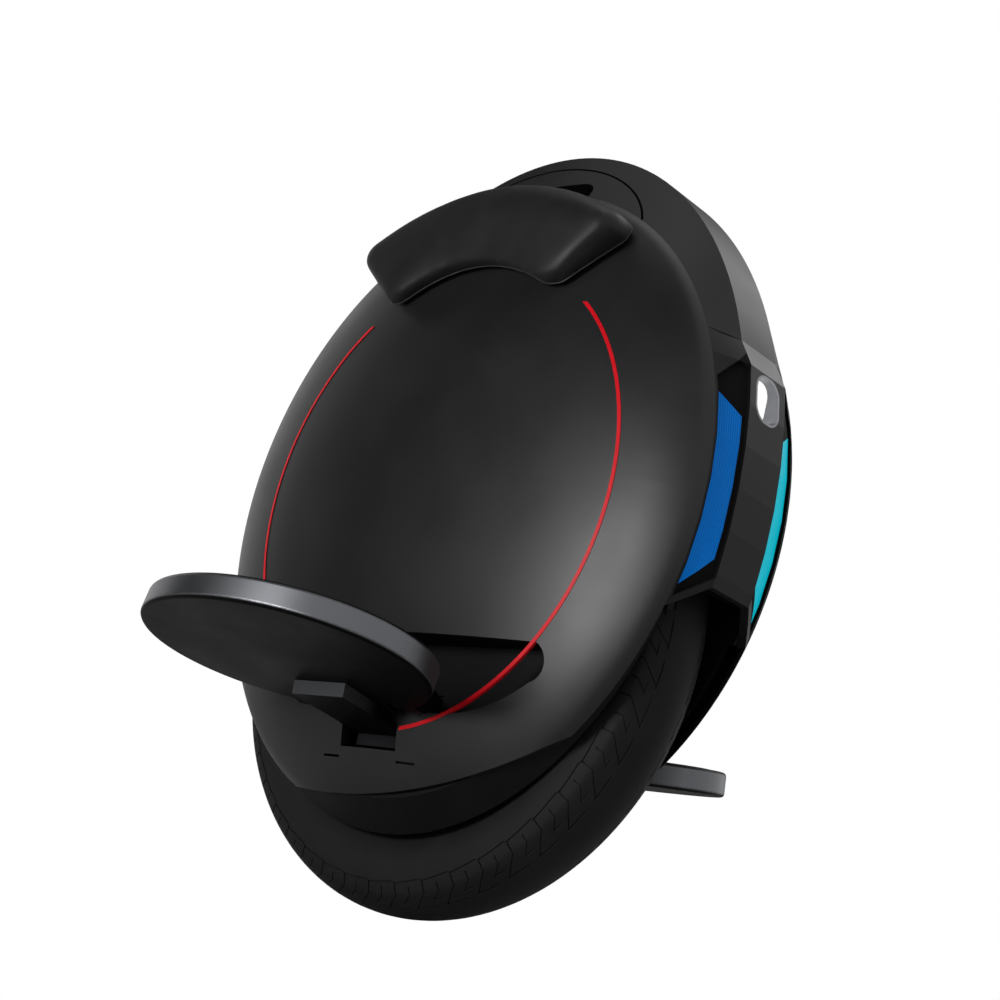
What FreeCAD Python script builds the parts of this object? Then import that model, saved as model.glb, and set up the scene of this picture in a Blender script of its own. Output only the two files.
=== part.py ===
import FreeCAD, Part
import math
import os

# Electric unicycle, in millimetres.
# +X is forward, +Y is left, +Z is up, and the origin is where the tyre meets the ground.

# Wheel and tyre
tyre_radius = 178.0
tyre_half_width = 28.0
tyre_shoulder_drop = 9.0
tyre_shoulder_half_width = 24.5
tyre_sidewall_height = 20.0
tyre_crown_thickness = 7.0
bead_radius = 127.0
bead_outer_y = 21.0
bead_width = 8.0
tube_wall = 1.6
tube_clearance = 0.5
rim_flange_height = 4.0
rim_flange_width = 2.3
rim_thickness = 14.0
seat_clearance = 0.1
part_clearance = 0.2

# Hub motor
magnet_count = 42
magnet_width = 14.0
magnet_thickness = 2.5
magnet_half_length = 18.0
magnet_glue = 0.1
air_gap = 0.8
slot_count = 36
slot_width = 7.0
slot_depth = 26.0
coil_overhang = 3.0
core_inner_radius = 62.0
hub_half_width = 11.0
cover_thickness = 3.5
cover_edge = 3.0
cover_screw_count = 8
cover_screw_radius = 2.0
cover_screw_length = 9.0
cover_screw_head_radius = 3.6
cover_screw_head_height = 2.2
cover_screw_inset = 6.0
axle_radius = 8.5
axle_bore_radius = 4.0
axle_half_length = 51.5
bearing_outer_radius = 20.0
bearing_width = 12.0
bearing_race = 3.0
bearing_ball_count = 9
bearing_inner_y = 15.0
bearing_clearance = 0.03
bearing_collar = 5.0
valve_radius = 3.0
valve_riser_radius = 2.4
valve_clearance = 0.1
valve_tail = 3.0

# Body ovals, all about one centre
body_centre_z = 258.5
rim_half_length = 197.6
rim_half_height = 209.6
rim_y = 39.5
crest_half_length = 200.0
crest_half_height = 247.5
crest_half_width = 18.0
crease_centre_x = -35.0
crease_half_length = 265.0
crease_half_height = 196.0
hem_half_length = 190.0
hem_half_height = 214.0
tuck_half_length = 183.0
tuck_half_height = 195.5
tuck_y = 46.5
dome_depth = 36.0
dome_fullness = 0.65
shell_wall = 3.0
spine_wall = 4.0
skirt_wall = 3.0
wheel_gap = 3.0
wall_thickness = 3.0
arch_gap = 8.0
arch_thickness = 3.0
arch_end_angle = 10.0

# Handle
seam_half_length = 112.0
seam_half_height = 94.0
seam_centre_z = 400.0
insert_half_length = 96.0
insert_floor_z = 442.0
hand_hole_half_length = 52.0
hand_hole_low_z = 451.0
hand_hole_height = 24.0

# Bumpers and lights
bumper_top_z = 360.0
bumper_low_z = 190.0
bumper_wall = 6.0
bumper_brow = (193.0, 344.0)
bumper_nose = (203.0, 276.0)
bumper_chin_x = 197.0
bumper_facets = 6
bumper_back_x = 150.0
chin_middle_z = 208.0
strip_inner_y = 20.5
strip_outer_y = 36.0
strip_inner_low_z = 224.0
strip_inner_high_z = 310.0
strip_outer_low_z = 204.0
strip_outer_high_z = 320.0
strip_lens_thickness = 2.2
channel_depth = 2.0
channel_inner_y = 18.0
channel_ridge_y = 24.0
channel_outer_y = 37.5
channel_inner_low_z = 214.0
channel_outer_low_z = 197.0
channel_inner_high_z = 341.0
channel_ridge_z = 344.0
channel_outer_high_z = 329.0
led_board_thickness = 1.6
lamp_z = 328.0
lamp_width = 24.0
lamp_height = 30.0
lamp_corner = 10.0
lamp_wall = 1.5
lamp_depth = 17.0
lamp_lens_thickness = 2.5
lamp_lens_setback = 9.0
tail_lens_setback = 0.8

# Side shell openings
recess_low_z = 114.0
recess_high_z = 160.0
recess_floor_half = 50.0
recess_bilge = (92.0, 122.5)
recess_cheek = (116.0, 137.0)
recess_tip = (124.5, 150.0)
recess_top_half = 118.0
recess_wall = 2.0
recess_floor = 2.0
slot_half_width = 24.0
slot_low_z = 90.0
slot_high_z = 106.0
slot_collar = 2.0
slot_collar_inner_y = 53.0
slit_inner_x = 25.0
slit_outer_x = 40.0
slit_z = 84.0
slit_height = 1.4

# Red oval line on the shells
strip_half_length = 147.0
strip_half_height = 153.7
strip_centre_z = 254.5
strip_width = 2.2
strip_proud = 0.5
strip_seat = 0.05
strip_bar_depth = 2.0
strip_end_z = 373.0

# Leg pads, outline as seen from the side
pad_top_z = 463.0
pad_shoulder = (102.0, 434.0)
pad_tip = (111.0, 424.0)
pad_tip_low = (109.0, 414.0)
pad_lobe_high = (82.0, 388.0)
pad_lobe = (71.0, 382.5)
pad_lobe_in = (57.0, 386.0)
pad_notch_z = 402.0
pad_belly_y = 60.0
pad_face_y = 72.0
pad_crown_y = 79.0
pad_clearance = 0.3
# Each pad section: width scale, lift of its lower edge, height scale
pad_root_shape = (0.96, 2.0, 0.97)
pad_belly_shape = (1.0, 0.0, 1.0)
pad_face_shape = (0.98, 1.0, 0.95)
pad_crown_shape = (0.92, 4.0, 0.8)

# Pedals, s runs outward along the plate from the hinge and t runs up from it
hinge_y = 72.0
hinge_z = 121.0
pedal_tilt = 9.0
pedal_half_length = 104.0
pedal_half_reach = 74.0
pedal_centre_s = 67.0
pedal_thickness = 16.0
pedal_top_t = 6.3
pedal_edge_s = 3.5
pedal_rounding = 2.5
nose_radius = 10.0
nose_half_length = 53.0
nose_root_s = 16.0
lug_inner_x = 30.0
lug_width = 8.0
lug_radius = 8.0
lug_gap = 0.4
lug_notch_radius = 14.0
hinge_pin_radius = 3.5
hinge_pin_clearance = 0.05
arm_half_width = 22.5
arm_block_s = 34.0
arm_block_lean = 2.0
arm_block_drop = 8.0
arm_tip_s = -23.0
arm_tip_low_t = -17.5
arm_tip_high_t = -13.6
arm_heel_s = -8.0
arm_heel_t = -16.5
arm_elbow_s = -7.0
arm_elbow_t = -14.4
tread_thickness = 1.6
tread_margin = 9.0
tread_inlay = 1.0
pedal_magnet_radius = 6.0
pedal_magnet_height = 3.0
pedal_magnet_s = 118.0

# Pedal brackets
bracket_thickness = 7.0
bracket_half_width = 42.0
bracket_low_z = 92.0
bracket_high_z = 206.0
bracket_round = 14.0
stop_half_width = 18.0
stop_low_z = 93.0
stop_high_z = 105.0
stop_gap = 0.3
lug_arm_half_height = 6.0
bracket_screw_x = 30.0
bracket_screw_rise = 20.0
bracket_screw_drop = 10.0
bracket_screw_radius = 2.5
bracket_screw_head = 4.5
bracket_screw_head_height = 3.0
nut_flat_radius = 13.0
nut_height = 7.0
washer_radius = 14.0
washer_thickness = 2.0
fastener_clearance = 0.05

# Power pieces inside
battery_half_length = 78.0
battery_low_z = 285.0
battery_high_z = 392.0
battery_thickness = 17.0
battery_round = 6.0
sink_half_length = 48.0
sink_half_width = 24.0
sink_top_z = 386.0
sink_fin_count = 8
sink_fin_gap = 3.0
sink_base = 5.0
board_thickness = 1.6
board_half_length = 62.0
board_half_width = 27.0
capacitor_radius = 8.0
capacitor_height = 24.0
capacitor_pitch = 26.0
cable_radius = 2.6
cable_bend = 8.0
cable_top_z = 398.0
plug_half_length = 6.0
plug_width = 8.0
plug_rise = 4.0

# Button and charge port on the rear of the crest, placed by their angle round its oval
button_angle = 36.2
button_radius = 8.9
button_clearance = 0.1
button_travel = 1.5
button_proud = 2.4
button_depth = 5.0
button_rounding = 0.5
housing_wall = 2.0
housing_depth = 11.0
bezel_radius = 14.0
bezel_height = 1.2
spot_depth = 0.8
crest_hole_reach = 30.0
switch_half_width = 3.0
port_angle = 49.5
port_bore_radius = 6.5
port_bore_depth = 10.0
port_wall = 2.5
port_floor = 3.0
cap_radius = 10.5
cap_thickness = 2.6
cap_gap = 0.2
cap_axis_reach = 13.2
cap_axis_height = 2.6
cap_knuckle_radius = 1.9
cap_pin_radius = 0.9
cap_pin_clearance = 0.05
cap_knuckle_half = 4.0
cap_ear_width = 2.2
cap_ear_gap = 0.3

# Worked out from the sizes above
axle_z = tyre_radius
wall_y = tyre_half_width + wheel_gap
wall_outer_y = wall_y + wall_thickness
arch_radius = tyre_radius + arch_gap
arch_outer_radius = arch_radius + arch_thickness
bracket_outer_y = wall_outer_y + bracket_thickness
rim_outer_radius = bead_radius - seat_clearance
rim_inner_radius = bead_radius - rim_thickness
rim_half_width = bead_outer_y + rim_flange_width
magnet_outer_radius = rim_inner_radius - magnet_glue
magnet_inner_radius = magnet_outer_radius - magnet_thickness
core_radius = magnet_inner_radius - air_gap
button_x = -crest_half_length * math.sin(math.radians(button_angle))
port_x = -crest_half_length * math.sin(math.radians(port_angle))
# Reach of cutting tools past the part, and their overrun past a face
far = 600.0
overrun = 1.0

nodes = {}


def vec(x, y, z):
    return FreeCAD.Vector(x, y, z)


def box(x0, x1, y0, y1, z0, z1):
    return Part.makeBox(x1 - x0, y1 - y0, z1 - z0, vec(x0, y0, z0))


def rod_y(radius, y0, y1, x=0.0, z=axle_z):
    return Part.makeCylinder(radius, y1 - y0, vec(x, y0, z), vec(0, 1, 0))


def rod_x(radius, x0, x1, y, z):
    return Part.makeCylinder(radius, x1 - x0, vec(x0, y, z), vec(1, 0, 0))


def ring_y(outer, inner, y0, y1):
    return rod_y(outer, y0, y1).cut(rod_y(inner, y0 - overrun, y1 + overrun))


def polygon(points):
    return Part.makePolygon(points + [points[0]])


def prism(wire, direction):
    return Part.Face(wire).extrude(direction)


def arc(a, b, c):
    return Part.Arc(a, b, c).toShape()


def line(a, b):
    return Part.LineSegment(a, b).toShape()


def mirror_y(shape):
    return shape.mirror(vec(0, 0, 0), vec(0, 1, 0))


def mirror_x(shape):
    return shape.mirror(vec(0, 0, 0), vec(1, 0, 0))


def both_sides(name, right):
    nodes[name + "_right"] = right
    nodes[name + "_left"] = mirror_y(right)


def oval_wire(y, half_length, half_height, centre_z=body_centre_z, centre_x=0.0):
    # Every oval is one unit circle stretched the same way, so that lofts between ovals don't twist.
    circle = Part.Wire([Part.Circle(vec(0, 0, 0), vec(0, 1, 0), 1.0).toShape()])
    stretch = FreeCAD.Matrix(half_length, 0, 0, centre_x, 0, 1, 0, y, 0, 0, half_height, centre_z, 0, 0, 0, 1)
    return circle.transformGeometry(stretch)


def oval_prism(y0, y1, half_length, half_height, centre_z=body_centre_z, centre_x=0.0):
    return prism(oval_wire(y0, half_length, half_height, centre_z, centre_x), vec(0, y1 - y0, 0))


def spun(points_or_edges):
    # Turn a closed section, drawn in the YZ plane above the axle, about the axle.
    face = Part.Face(Part.Wire(points_or_edges))
    return face.revolve(vec(0, 0, axle_z), vec(0, 1, 0), 360)


def section_point(radius, y):
    return vec(0, y, axle_z + radius)


def section_polygon(pairs):
    return polygon([section_point(radius, y) for radius, y in pairs]).Edges


def around_axle(shape, count, start=0.0):
    copies = []
    for index in range(count):
        copy = shape.copy()
        copy.rotate(vec(0, 0, axle_z), vec(0, 1, 0), start + index * 360.0 / count)
        copies.append(copy)
    return copies


def dome(growth):
    # Right-hand dome, its profile following depth * cos(angle) ** (2 * fullness), then stretched to an oval.
    length = rim_half_length + growth
    depth = dome_depth + growth
    height = rim_half_height + growth
    points = []
    profile_steps = 10
    for step in range(profile_steps + 1):
        angle = math.pi / 2 * step / profile_steps
        reach = math.cos(angle) if step < profile_steps else 0.0
        points.append(vec(length * math.sin(angle), -rim_y - depth * reach ** (2 * dome_fullness), 0))
    curve = Part.BSplineCurve()
    curve.interpolate(points)
    edges = [curve.toShape(), line(points[-1], vec(0, -rim_y, 0)), line(vec(0, -rim_y, 0), points[0])]
    round_dome = Part.Face(Part.Wire(edges)).revolve(vec(0, 0, 0), vec(0, 1, 0), 360)
    stretch = FreeCAD.Matrix()
    stretch.scale(1.0, 1.0, height / length)
    stretched = round_dome.transformGeometry(stretch)
    stretched.translate(vec(0, 0, body_centre_z))
    return stretched


def stadium_prism(half_length, low_z, high_z, y0, y1):
    # Long hole with round ends, running along X and cut along Y.
    radius = (high_z - low_z) / 2
    middle_z = (high_z + low_z) / 2
    end_x = half_length - radius
    edges = [
        line(vec(-end_x, y0, low_z), vec(end_x, y0, low_z)),
        arc(vec(end_x, y0, low_z), vec(half_length, y0, middle_z), vec(end_x, y0, high_z)),
        line(vec(end_x, y0, high_z), vec(-end_x, y0, high_z)),
        arc(vec(-end_x, y0, high_z), vec(-half_length, y0, middle_z), vec(-end_x, y0, low_z)),
    ]
    return prism(Part.Wire(edges), vec(0, y1 - y0, 0))


def recess_prism(growth, y0, y1):
    # Pedal recess: straight along the top, and drawn up at both ends like a boat.
    def at(point, side=1):
        return vec(side * point[0], y0, point[1])

    floor_end = (recess_floor_half, recess_low_z)
    top_end = (recess_top_half, recess_high_z)
    edges = [
        line(at(floor_end, -1), at(floor_end)),
        arc(at(floor_end), at(recess_bilge), at(recess_cheek)),
        arc(at(recess_cheek), at(recess_tip), at(top_end)),
        line(at(top_end), at(top_end, -1)),
        arc(at(top_end, -1), at(recess_tip, -1), at(recess_cheek, -1)),
        arc(at(recess_cheek, -1), at(recess_bilge, -1), at(floor_end, -1)),
    ]
    outline = Part.Wire(edges)
    if growth > 0:
        outline = outline.makeOffset2D(growth)
    return prism(outline, vec(0, y1 - y0, 0))


def round_rect_prism(width, height, corner, centre_z, x0, x1):
    block = box(x0, x1, -width / 2, width / 2, centre_z - height / 2, centre_z + height / 2)
    lengthwise = [edge for edge in block.Edges if abs(edge.BoundBox.XLength - (x1 - x0)) < 1e-6]
    return block.makeFillet(corner, lengthwise)


def band_loft(inset, extra_y):
    # Body envelope over the wheel: flat crest in the middle, slanted flanks down to the shell rims.
    flank = rim_y - crest_half_width
    reach = (flank + extra_y) / flank
    edge_y = crest_half_width + flank * reach
    edge_length = crest_half_length + (rim_half_length - crest_half_length) * reach - inset
    edge_height = crest_half_height + (rim_half_height - crest_half_height) * reach - inset
    top_length = crest_half_length - inset
    top_height = crest_half_height - inset
    wires = [
        oval_wire(-edge_y, edge_length, edge_height),
        oval_wire(-crest_half_width, top_length, top_height),
        oval_wire(crest_half_width, top_length, top_height),
        oval_wire(edge_y, edge_length, edge_height),
    ]
    return Part.makeLoft(wires, True, True)


def hem_loft(inset, extra_y):
    # Slanted skirt surface from the hem beside the tyre out to its tucked edge inside the side shell.
    slope = (tuck_y + extra_y - wall_y) / (tuck_y - wall_y)
    edge_length = hem_half_length + (tuck_half_length - hem_half_length) * slope - inset
    edge_height = hem_half_height + (tuck_half_height - hem_half_height) * slope - inset
    wires = [
        oval_wire(-wall_y, hem_half_length - inset, hem_half_height - inset),
        oval_wire(-tuck_y - extra_y, edge_length, edge_height),
    ]
    return Part.makeLoft(wires, True, True)


def crest_x(z):
    return crest_half_length * math.sqrt(1 - ((z - body_centre_z) / crest_half_height) ** 2)


def crest_z(x):
    return body_centre_z + crest_half_height * math.sqrt(1 - (x / crest_half_length) ** 2)


def rim_x(z):
    return rim_half_length * math.sqrt(1 - ((z - body_centre_z) / rim_half_height) ** 2)


def on_crest(shape, x):
    # Put a piece drawn upright about the origin onto the crest, square to its curve.
    z = crest_z(x)
    slope_x = x / crest_half_length ** 2
    slope_z = (z - body_centre_z) / crest_half_height ** 2
    shape = shape.copy()
    shape.rotate(vec(0, 0, 0), vec(0, 1, 0), math.degrees(math.atan2(slope_x, slope_z)))
    shape.translate(vec(x, 0, z))
    return shape


def upright(radius, z0, z1, x=0.0, y=0.0):
    return Part.makeCylinder(radius, z1 - z0, vec(x, y, z0))


# Tyre and tube
def make_tyre():
    shoulder = tyre_radius - tyre_shoulder_drop
    sidewall = bead_radius + tyre_sidewall_height
    inner_y = bead_outer_y - bead_width
    crown = tyre_radius - tyre_crown_thickness
    flange = bead_radius + rim_flange_height + part_clearance
    edges = [
        line(section_point(bead_radius, -bead_outer_y), section_point(flange, -bead_outer_y)),
        arc(section_point(flange, -bead_outer_y), section_point(sidewall, -tyre_half_width),
            section_point(shoulder, -tyre_shoulder_half_width)),
        arc(section_point(shoulder, -tyre_shoulder_half_width), section_point(tyre_radius, 0),
            section_point(shoulder, tyre_shoulder_half_width)),
        arc(section_point(shoulder, tyre_shoulder_half_width), section_point(sidewall, tyre_half_width),
            section_point(flange, bead_outer_y)),
        line(section_point(flange, bead_outer_y), section_point(bead_radius, bead_outer_y)),
        line(section_point(bead_radius, bead_outer_y), section_point(bead_radius, inner_y)),
        arc(section_point(bead_radius, inner_y), section_point(crown, 0),
            section_point(bead_radius, -inner_y)),
        line(section_point(bead_radius, -inner_y), section_point(bead_radius, -bead_outer_y)),
    ]
    nodes["tyre"] = spun(edges)
    tube_radius = (crown - rim_outer_radius) / 2 - tube_clearance
    tube_centre = (crown + rim_outer_radius) / 2
    tube = Part.makeTorus(tube_centre, tube_radius, vec(0, 0, axle_z), vec(0, 1, 0))
    hollow = Part.makeTorus(tube_centre, tube_radius - tube_wall, vec(0, 0, axle_z), vec(0, 1, 0))
    nodes["inner_tube"] = tube.cut(hollow)


# Rim, motor covers, their screws and the valve
def make_hub():
    flange_radius = bead_radius + rim_flange_height
    flange_y = bead_outer_y + part_clearance
    rim = spun(section_polygon([
        (rim_inner_radius, -rim_half_width), (flange_radius, -rim_half_width), (flange_radius, -flange_y),
        (rim_outer_radius, -flange_y), (rim_outer_radius, flange_y), (flange_radius, flange_y),
        (flange_radius, rim_half_width), (rim_inner_radius, rim_half_width)]))
    cover_outer_y = rim_half_width + cover_thickness
    cover_radius = bead_radius - cover_edge
    collar_radius = bearing_outer_radius + bearing_collar
    collar_inner_y = bearing_inner_y
    cover = spun(section_polygon([
        (bearing_outer_radius, -collar_inner_y), (collar_radius, -collar_inner_y),
        (collar_radius, -rim_half_width), (cover_radius, -rim_half_width),
        (cover_radius, -cover_outer_y), (bearing_outer_radius, -cover_outer_y)]))
    screw_radius = cover_radius - cover_screw_inset
    screw_z = axle_z + screw_radius
    screw = rod_y(cover_screw_radius, -cover_outer_y, cover_screw_length - cover_outer_y, 0, screw_z)
    head_y = cover_outer_y + cover_screw_head_height
    screw = screw.fuse(rod_y(cover_screw_head_radius, -head_y, -cover_outer_y, 0, screw_z))
    hole_radius = cover_screw_radius + fastener_clearance
    hole = rod_y(hole_radius, -cover_outer_y - overrun, cover_screw_length - cover_outer_y, 0, screw_z)
    holes = Part.makeCompound(around_axle(hole, cover_screw_count))
    cover = cover.cut(holes)
    rim = rim.cut(holes).cut(mirror_y(holes))
    screws = around_axle(screw, cover_screw_count)
    nodes["motor_cover_screws"] = Part.makeCompound(screws + [mirror_y(item) for item in screws])

    # The valve is an elbow: up into the tyre cavity and out through the right cover.
    valve_z = axle_z + (rim_inner_radius + rim_outer_radius) / 2
    valve_end_y = cover_outer_y + valve_tail

    def elbow(clearance, foot_y, top_z):
        stem = rod_y(valve_radius + clearance, foot_y, valve_radius + clearance, 0, valve_z)
        riser = Part.makeCylinder(valve_riser_radius + clearance, top_z - valve_z, vec(0, 0, valve_z))
        return stem.fuse(riser)

    turn = 180.0 / cover_screw_count
    valve = elbow(0.0, -valve_end_y, axle_z + rim_outer_radius)
    bore = elbow(valve_clearance, -valve_end_y - overrun, axle_z + rim_outer_radius + overrun)
    for item in (valve, bore):
        item.rotate(vec(0, 0, axle_z), vec(0, 1, 0), turn)
    nodes["valve_stem"] = valve
    nodes["wheel_rim"] = rim.cut(bore)
    nodes["motor_cover_right"] = cover.cut(bore)
    nodes["motor_cover_left"] = mirror_y(cover)


def make_motor():
    magnet = box(-magnet_width / 2, magnet_width / 2, -magnet_half_length, magnet_half_length,
                 axle_z + magnet_inner_radius, axle_z + magnet_outer_radius)
    barrel = rod_y(rim_inner_radius - magnet_glue / 2, -magnet_half_length, magnet_half_length)
    nodes["rotor_magnets"] = Part.makeCompound(around_axle(magnet.common(barrel), magnet_count))

    core = ring_y(core_radius, core_inner_radius, -magnet_half_length, magnet_half_length)
    slot_top = axle_z + core_radius + overrun
    slot = box(-slot_width / 2, slot_width / 2, -far, far, axle_z + core_radius - slot_depth, slot_top)
    nodes["stator_core"] = core.cut(Part.makeCompound(around_axle(slot, slot_count)))
    coil_half_length = magnet_half_length + coil_overhang
    coil = box(-slot_width / 2, slot_width / 2, -coil_half_length, coil_half_length,
               axle_z + core_radius - slot_depth, axle_z + core_radius - air_gap)
    nodes["stator_windings"] = Part.makeCompound(around_axle(coil, slot_count))
    hub = ring_y(core_inner_radius, axle_radius, -hub_half_width, hub_half_width)
    nodes["stator_hub"] = hub

    axle = ring_y(axle_radius, axle_bore_radius, -axle_half_length, axle_half_length)
    nodes["axle"] = axle
    bore_radius = axle_radius + bearing_clearance
    outer_race = bearing_outer_radius - bearing_race
    inner_race = axle_radius + bearing_race
    far_y = bearing_inner_y + bearing_width
    races = [
        ring_y(bearing_outer_radius, outer_race, -far_y, -bearing_inner_y),
        ring_y(inner_race, bore_radius, -far_y, -bearing_inner_y),
    ]
    ball_radius = (outer_race - inner_race) / 2 - bearing_clearance
    ball_centre = vec(0, -(bearing_inner_y + far_y) / 2, axle_z + (outer_race + inner_race) / 2)
    ball = Part.makeSphere(ball_radius, ball_centre)
    both_sides("hub_bearing", Part.makeCompound(races + around_axle(ball, bearing_ball_count)))

    washer_y = bracket_outer_y + washer_thickness
    nut_y = washer_y + nut_height
    washer = ring_y(washer_radius, axle_radius + fastener_clearance, -washer_y, -bracket_outer_y)
    nut_corner = nut_flat_radius / math.cos(math.pi / 6)
    corners = []
    for index in range(6):
        angle = index * math.pi / 3
        corners.append(vec(nut_corner * math.cos(angle), -nut_y, axle_z + nut_corner * math.sin(angle)))
    nut = prism(polygon(corners), vec(0, nut_height, 0))
    nut = nut.cut(rod_y(axle_radius + fastener_clearance, -far, far))
    fasteners = [nut, washer]
    nodes["axle_nuts"] = Part.makeCompound(fasteners + [mirror_y(item) for item in fasteners])


# Side shell with its openings, the red line and the tray behind the pedal recess
def make_side_shells():
    outer = dome(0.0)
    inner = dome(-shell_wall)
    lower = oval_prism(-far, far, crease_half_length, crease_half_height, body_centre_z, crease_centre_x)
    upper = box(-far, far, -far, far, body_centre_z, far)
    shell = outer.cut(inner).common(lower.fuse(upper))

    collar = box(-slot_half_width - slot_collar, slot_half_width + slot_collar, -far, -slot_collar_inner_y,
                 slot_low_z - slot_collar, slot_high_z + slot_collar)
    shell = shell.fuse(collar.common(dome(-shell_wall / 2)))
    recess = recess_prism(0.0, -far, -rim_y)
    slot = box(-slot_half_width, slot_half_width, -far, 0, slot_low_z, slot_high_z)
    slit_low = slit_z - slit_height / 2
    slit = box(slit_inner_x, slit_outer_x, -far, -rim_y, slit_low, slit_low + slit_height)
    for opening in (recess, slot, slit, mirror_x(slit), hand_hole()):
        shell = shell.cut(opening)

    half_width = strip_width / 2
    band = oval_prism(-far, -rim_y, strip_half_length + half_width, strip_half_height + half_width,
                      strip_centre_z)
    band = band.cut(oval_prism(-far, -rim_y, strip_half_length - half_width,
                               strip_half_height - half_width, strip_centre_z))
    band = band.cut(box(-far, far, -far, far, strip_end_z, far))
    # The line stops at the rear of the recess and at the front edge of the hinge slot.
    band = band.cut(box(-far, slot_half_width + slot_collar, -far, far, 0, recess_high_z))
    # The line is a thin bead on the shell and a small bar where it bridges the pedal recess.
    surface = dome(strip_proud)
    bead = band.cut(recess).common(surface).cut(dome(strip_seat))
    bar = band.common(recess).common(surface).cut(dome(-strip_bar_depth))
    both_sides("accent_strip", Part.makeCompound(bead.Solids + bar.Solids))
    both_sides("side_shell", shell)

    floor_y = bracket_outer_y + part_clearance
    tray = recess_prism(recess_wall, -far, -floor_y)
    pocket = recess_prism(0.0, -far, -floor_y - recess_floor)
    lug_end = lug_inner_x + lug_width + lug_gap
    window = box(-lug_end, lug_end, -far, far, recess_low_z, hinge_z + lug_radius)
    tray = tray.common(inner).cut(pocket).cut(window).cut(nodes["inner_shell_right"])
    tray = tray.cut(box(-slot_half_width - slot_collar, slot_half_width + slot_collar, -far, 0,
                        slot_low_z, slot_high_z + slot_collar))
    both_sides("pedal_recess", tray)


def hand_hole():
    return stadium_prism(hand_hole_half_length, hand_hole_low_z, hand_hole_low_z + hand_hole_height, -far, far)


# Spine cover, handle insert, wheel arch and inner shells
def make_spine():
    envelope = band_loft(0.0, 0.0)
    cavity = band_loft(spine_wall, overrun)
    above = box(-far, far, -far, far, bumper_top_z, far)
    seam = oval_prism(-far, far, seam_half_length, seam_half_height, seam_centre_z)
    block = box(-insert_half_length, insert_half_length, -rim_y, rim_y, insert_floor_z, far)
    insert = envelope.common(seam).common(box(-far, far, -far, far, insert_floor_z, far))
    insert = insert.fuse(cavity.common(block)).cut(hand_hole())
    nodes["handle_insert"] = insert
    cover = envelope.cut(cavity).common(above).cut(insert).cut(hand_hole())

    ear_reach = cap_axis_reach + cap_knuckle_radius
    port_reach = math.hypot(ear_reach, cap_knuckle_half + cap_ear_gap + cap_ear_width)
    fittings = [(button_x, bezel_radius, button_radius + button_clearance + housing_wall),
                (port_x, port_reach, port_bore_radius + port_wall)]
    for x, reach, radius in fittings:
        cover = cover.cut(on_crest(upright(reach + part_clearance, -spot_depth, far), x))
        cover = cover.cut(on_crest(upright(radius + fastener_clearance, -crest_hole_reach, crest_hole_reach), x))
    nodes["spine_cover"] = cover

    arch = ring_y(arch_outer_radius, arch_radius, -wall_y, wall_y)
    end_z = axle_z + arch_radius * math.sin(math.radians(arch_end_angle))
    nodes["wheel_arch"] = arch.common(box(-far, far, -far, far, end_z, far))

    wall = box(-far, far, -wall_outer_y, -wall_y, 0, far)
    low = box(-far, far, -far, far, 0, bumper_low_z)
    high = box(-far, far, -far, far, bumper_low_z, far)
    pocket = hem_loft(skirt_wall, overrun).common(box(-far, far, -far, -wall_outer_y, -far, far))
    lower_shell = hem_loft(0.0, 0.0).common(low).cut(pocket)
    inner_shell = wall.common(cavity).common(high).cut(insert).cut(hand_hole()).fuse(lower_shell)
    inner_shell = inner_shell.cut(rod_y(axle_radius + wheel_gap, -far, far))
    inner_shell = inner_shell.cut(rod_y(cable_radius + part_clearance, -far, 0, 0, cable_top_z))
    skin = bumper_skin()
    inner_shell = inner_shell.cut(skin).cut(mirror_x(skin))
    for x, z in bracket_screw_places():
        inner_shell = inner_shell.cut(rod_y(bracket_screw_radius + fastener_clearance, -far, 0, x, z))
    both_sides("inner_shell", inner_shell)


def bumper_profile():
    # Middle line of the face: down the crest to the brow, then one even curve over the nose to the chin.
    corners = [vec(x, 0, z) for x, z in (bumper_brow, bumper_nose, (bumper_chin_x, bumper_low_z))]
    curve = [(point.x, point.z) for point in arc(*corners).discretize(bumper_facets + 1)]
    curve.sort(key=lambda point: -point[1])
    return [(crest_x(bumper_top_z), bumper_top_z)] + curve


def bumper_x(z):
    profile = bumper_profile()
    for upper, lower in zip(profile, profile[1:]):
        if lower[1] <= z <= upper[1]:
            return lower[0] + (upper[0] - lower[0]) * (z - lower[1]) / (upper[1] - lower[1])


def bumper_block(setback):
    middle = bumper_profile()
    wires = []
    for y in (-rim_y, -crest_half_width, crest_half_width, rim_y):
        points = [(bumper_back_x, bumper_low_z), (bumper_back_x, bumper_top_z)]
        for x, z in middle:
            points.append((rim_x(z) if abs(y) > crest_half_width else x, z))
        wires.append(polygon([vec(x - setback, y, z) for x, z in points]))
    return Part.makeLoft(wires, True, True)


def bumper_skin():
    skin = bumper_block(0.0).cut(bumper_block(bumper_wall))
    chin = [vec(0, -rim_y, 0), vec(0, -rim_y, bumper_low_z), vec(0, -crest_half_width, chin_middle_z),
            vec(0, crest_half_width, chin_middle_z), vec(0, rim_y, bumper_low_z), vec(0, rim_y, 0)]
    return skin.cut(prism(polygon(chin), vec(far, 0, 0)))


def strip_prism(side):
    points = [(strip_inner_y, strip_inner_low_z), (strip_outer_y, strip_outer_low_z),
              (strip_outer_y, strip_outer_high_z), (strip_inner_y, strip_inner_high_z)]
    return prism(polygon([vec(0, side * y, z) for y, z in points]), vec(far, 0, 0))


def channel_prism(side):
    points = [(channel_inner_y, channel_inner_low_z), (channel_outer_y, channel_outer_low_z),
              (channel_outer_y, channel_outer_high_z), (channel_ridge_y, channel_ridge_z),
              (channel_inner_y, channel_inner_high_z)]
    return prism(polygon([vec(0, side * y, z) for y, z in points]), vec(far, 0, 0))


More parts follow.
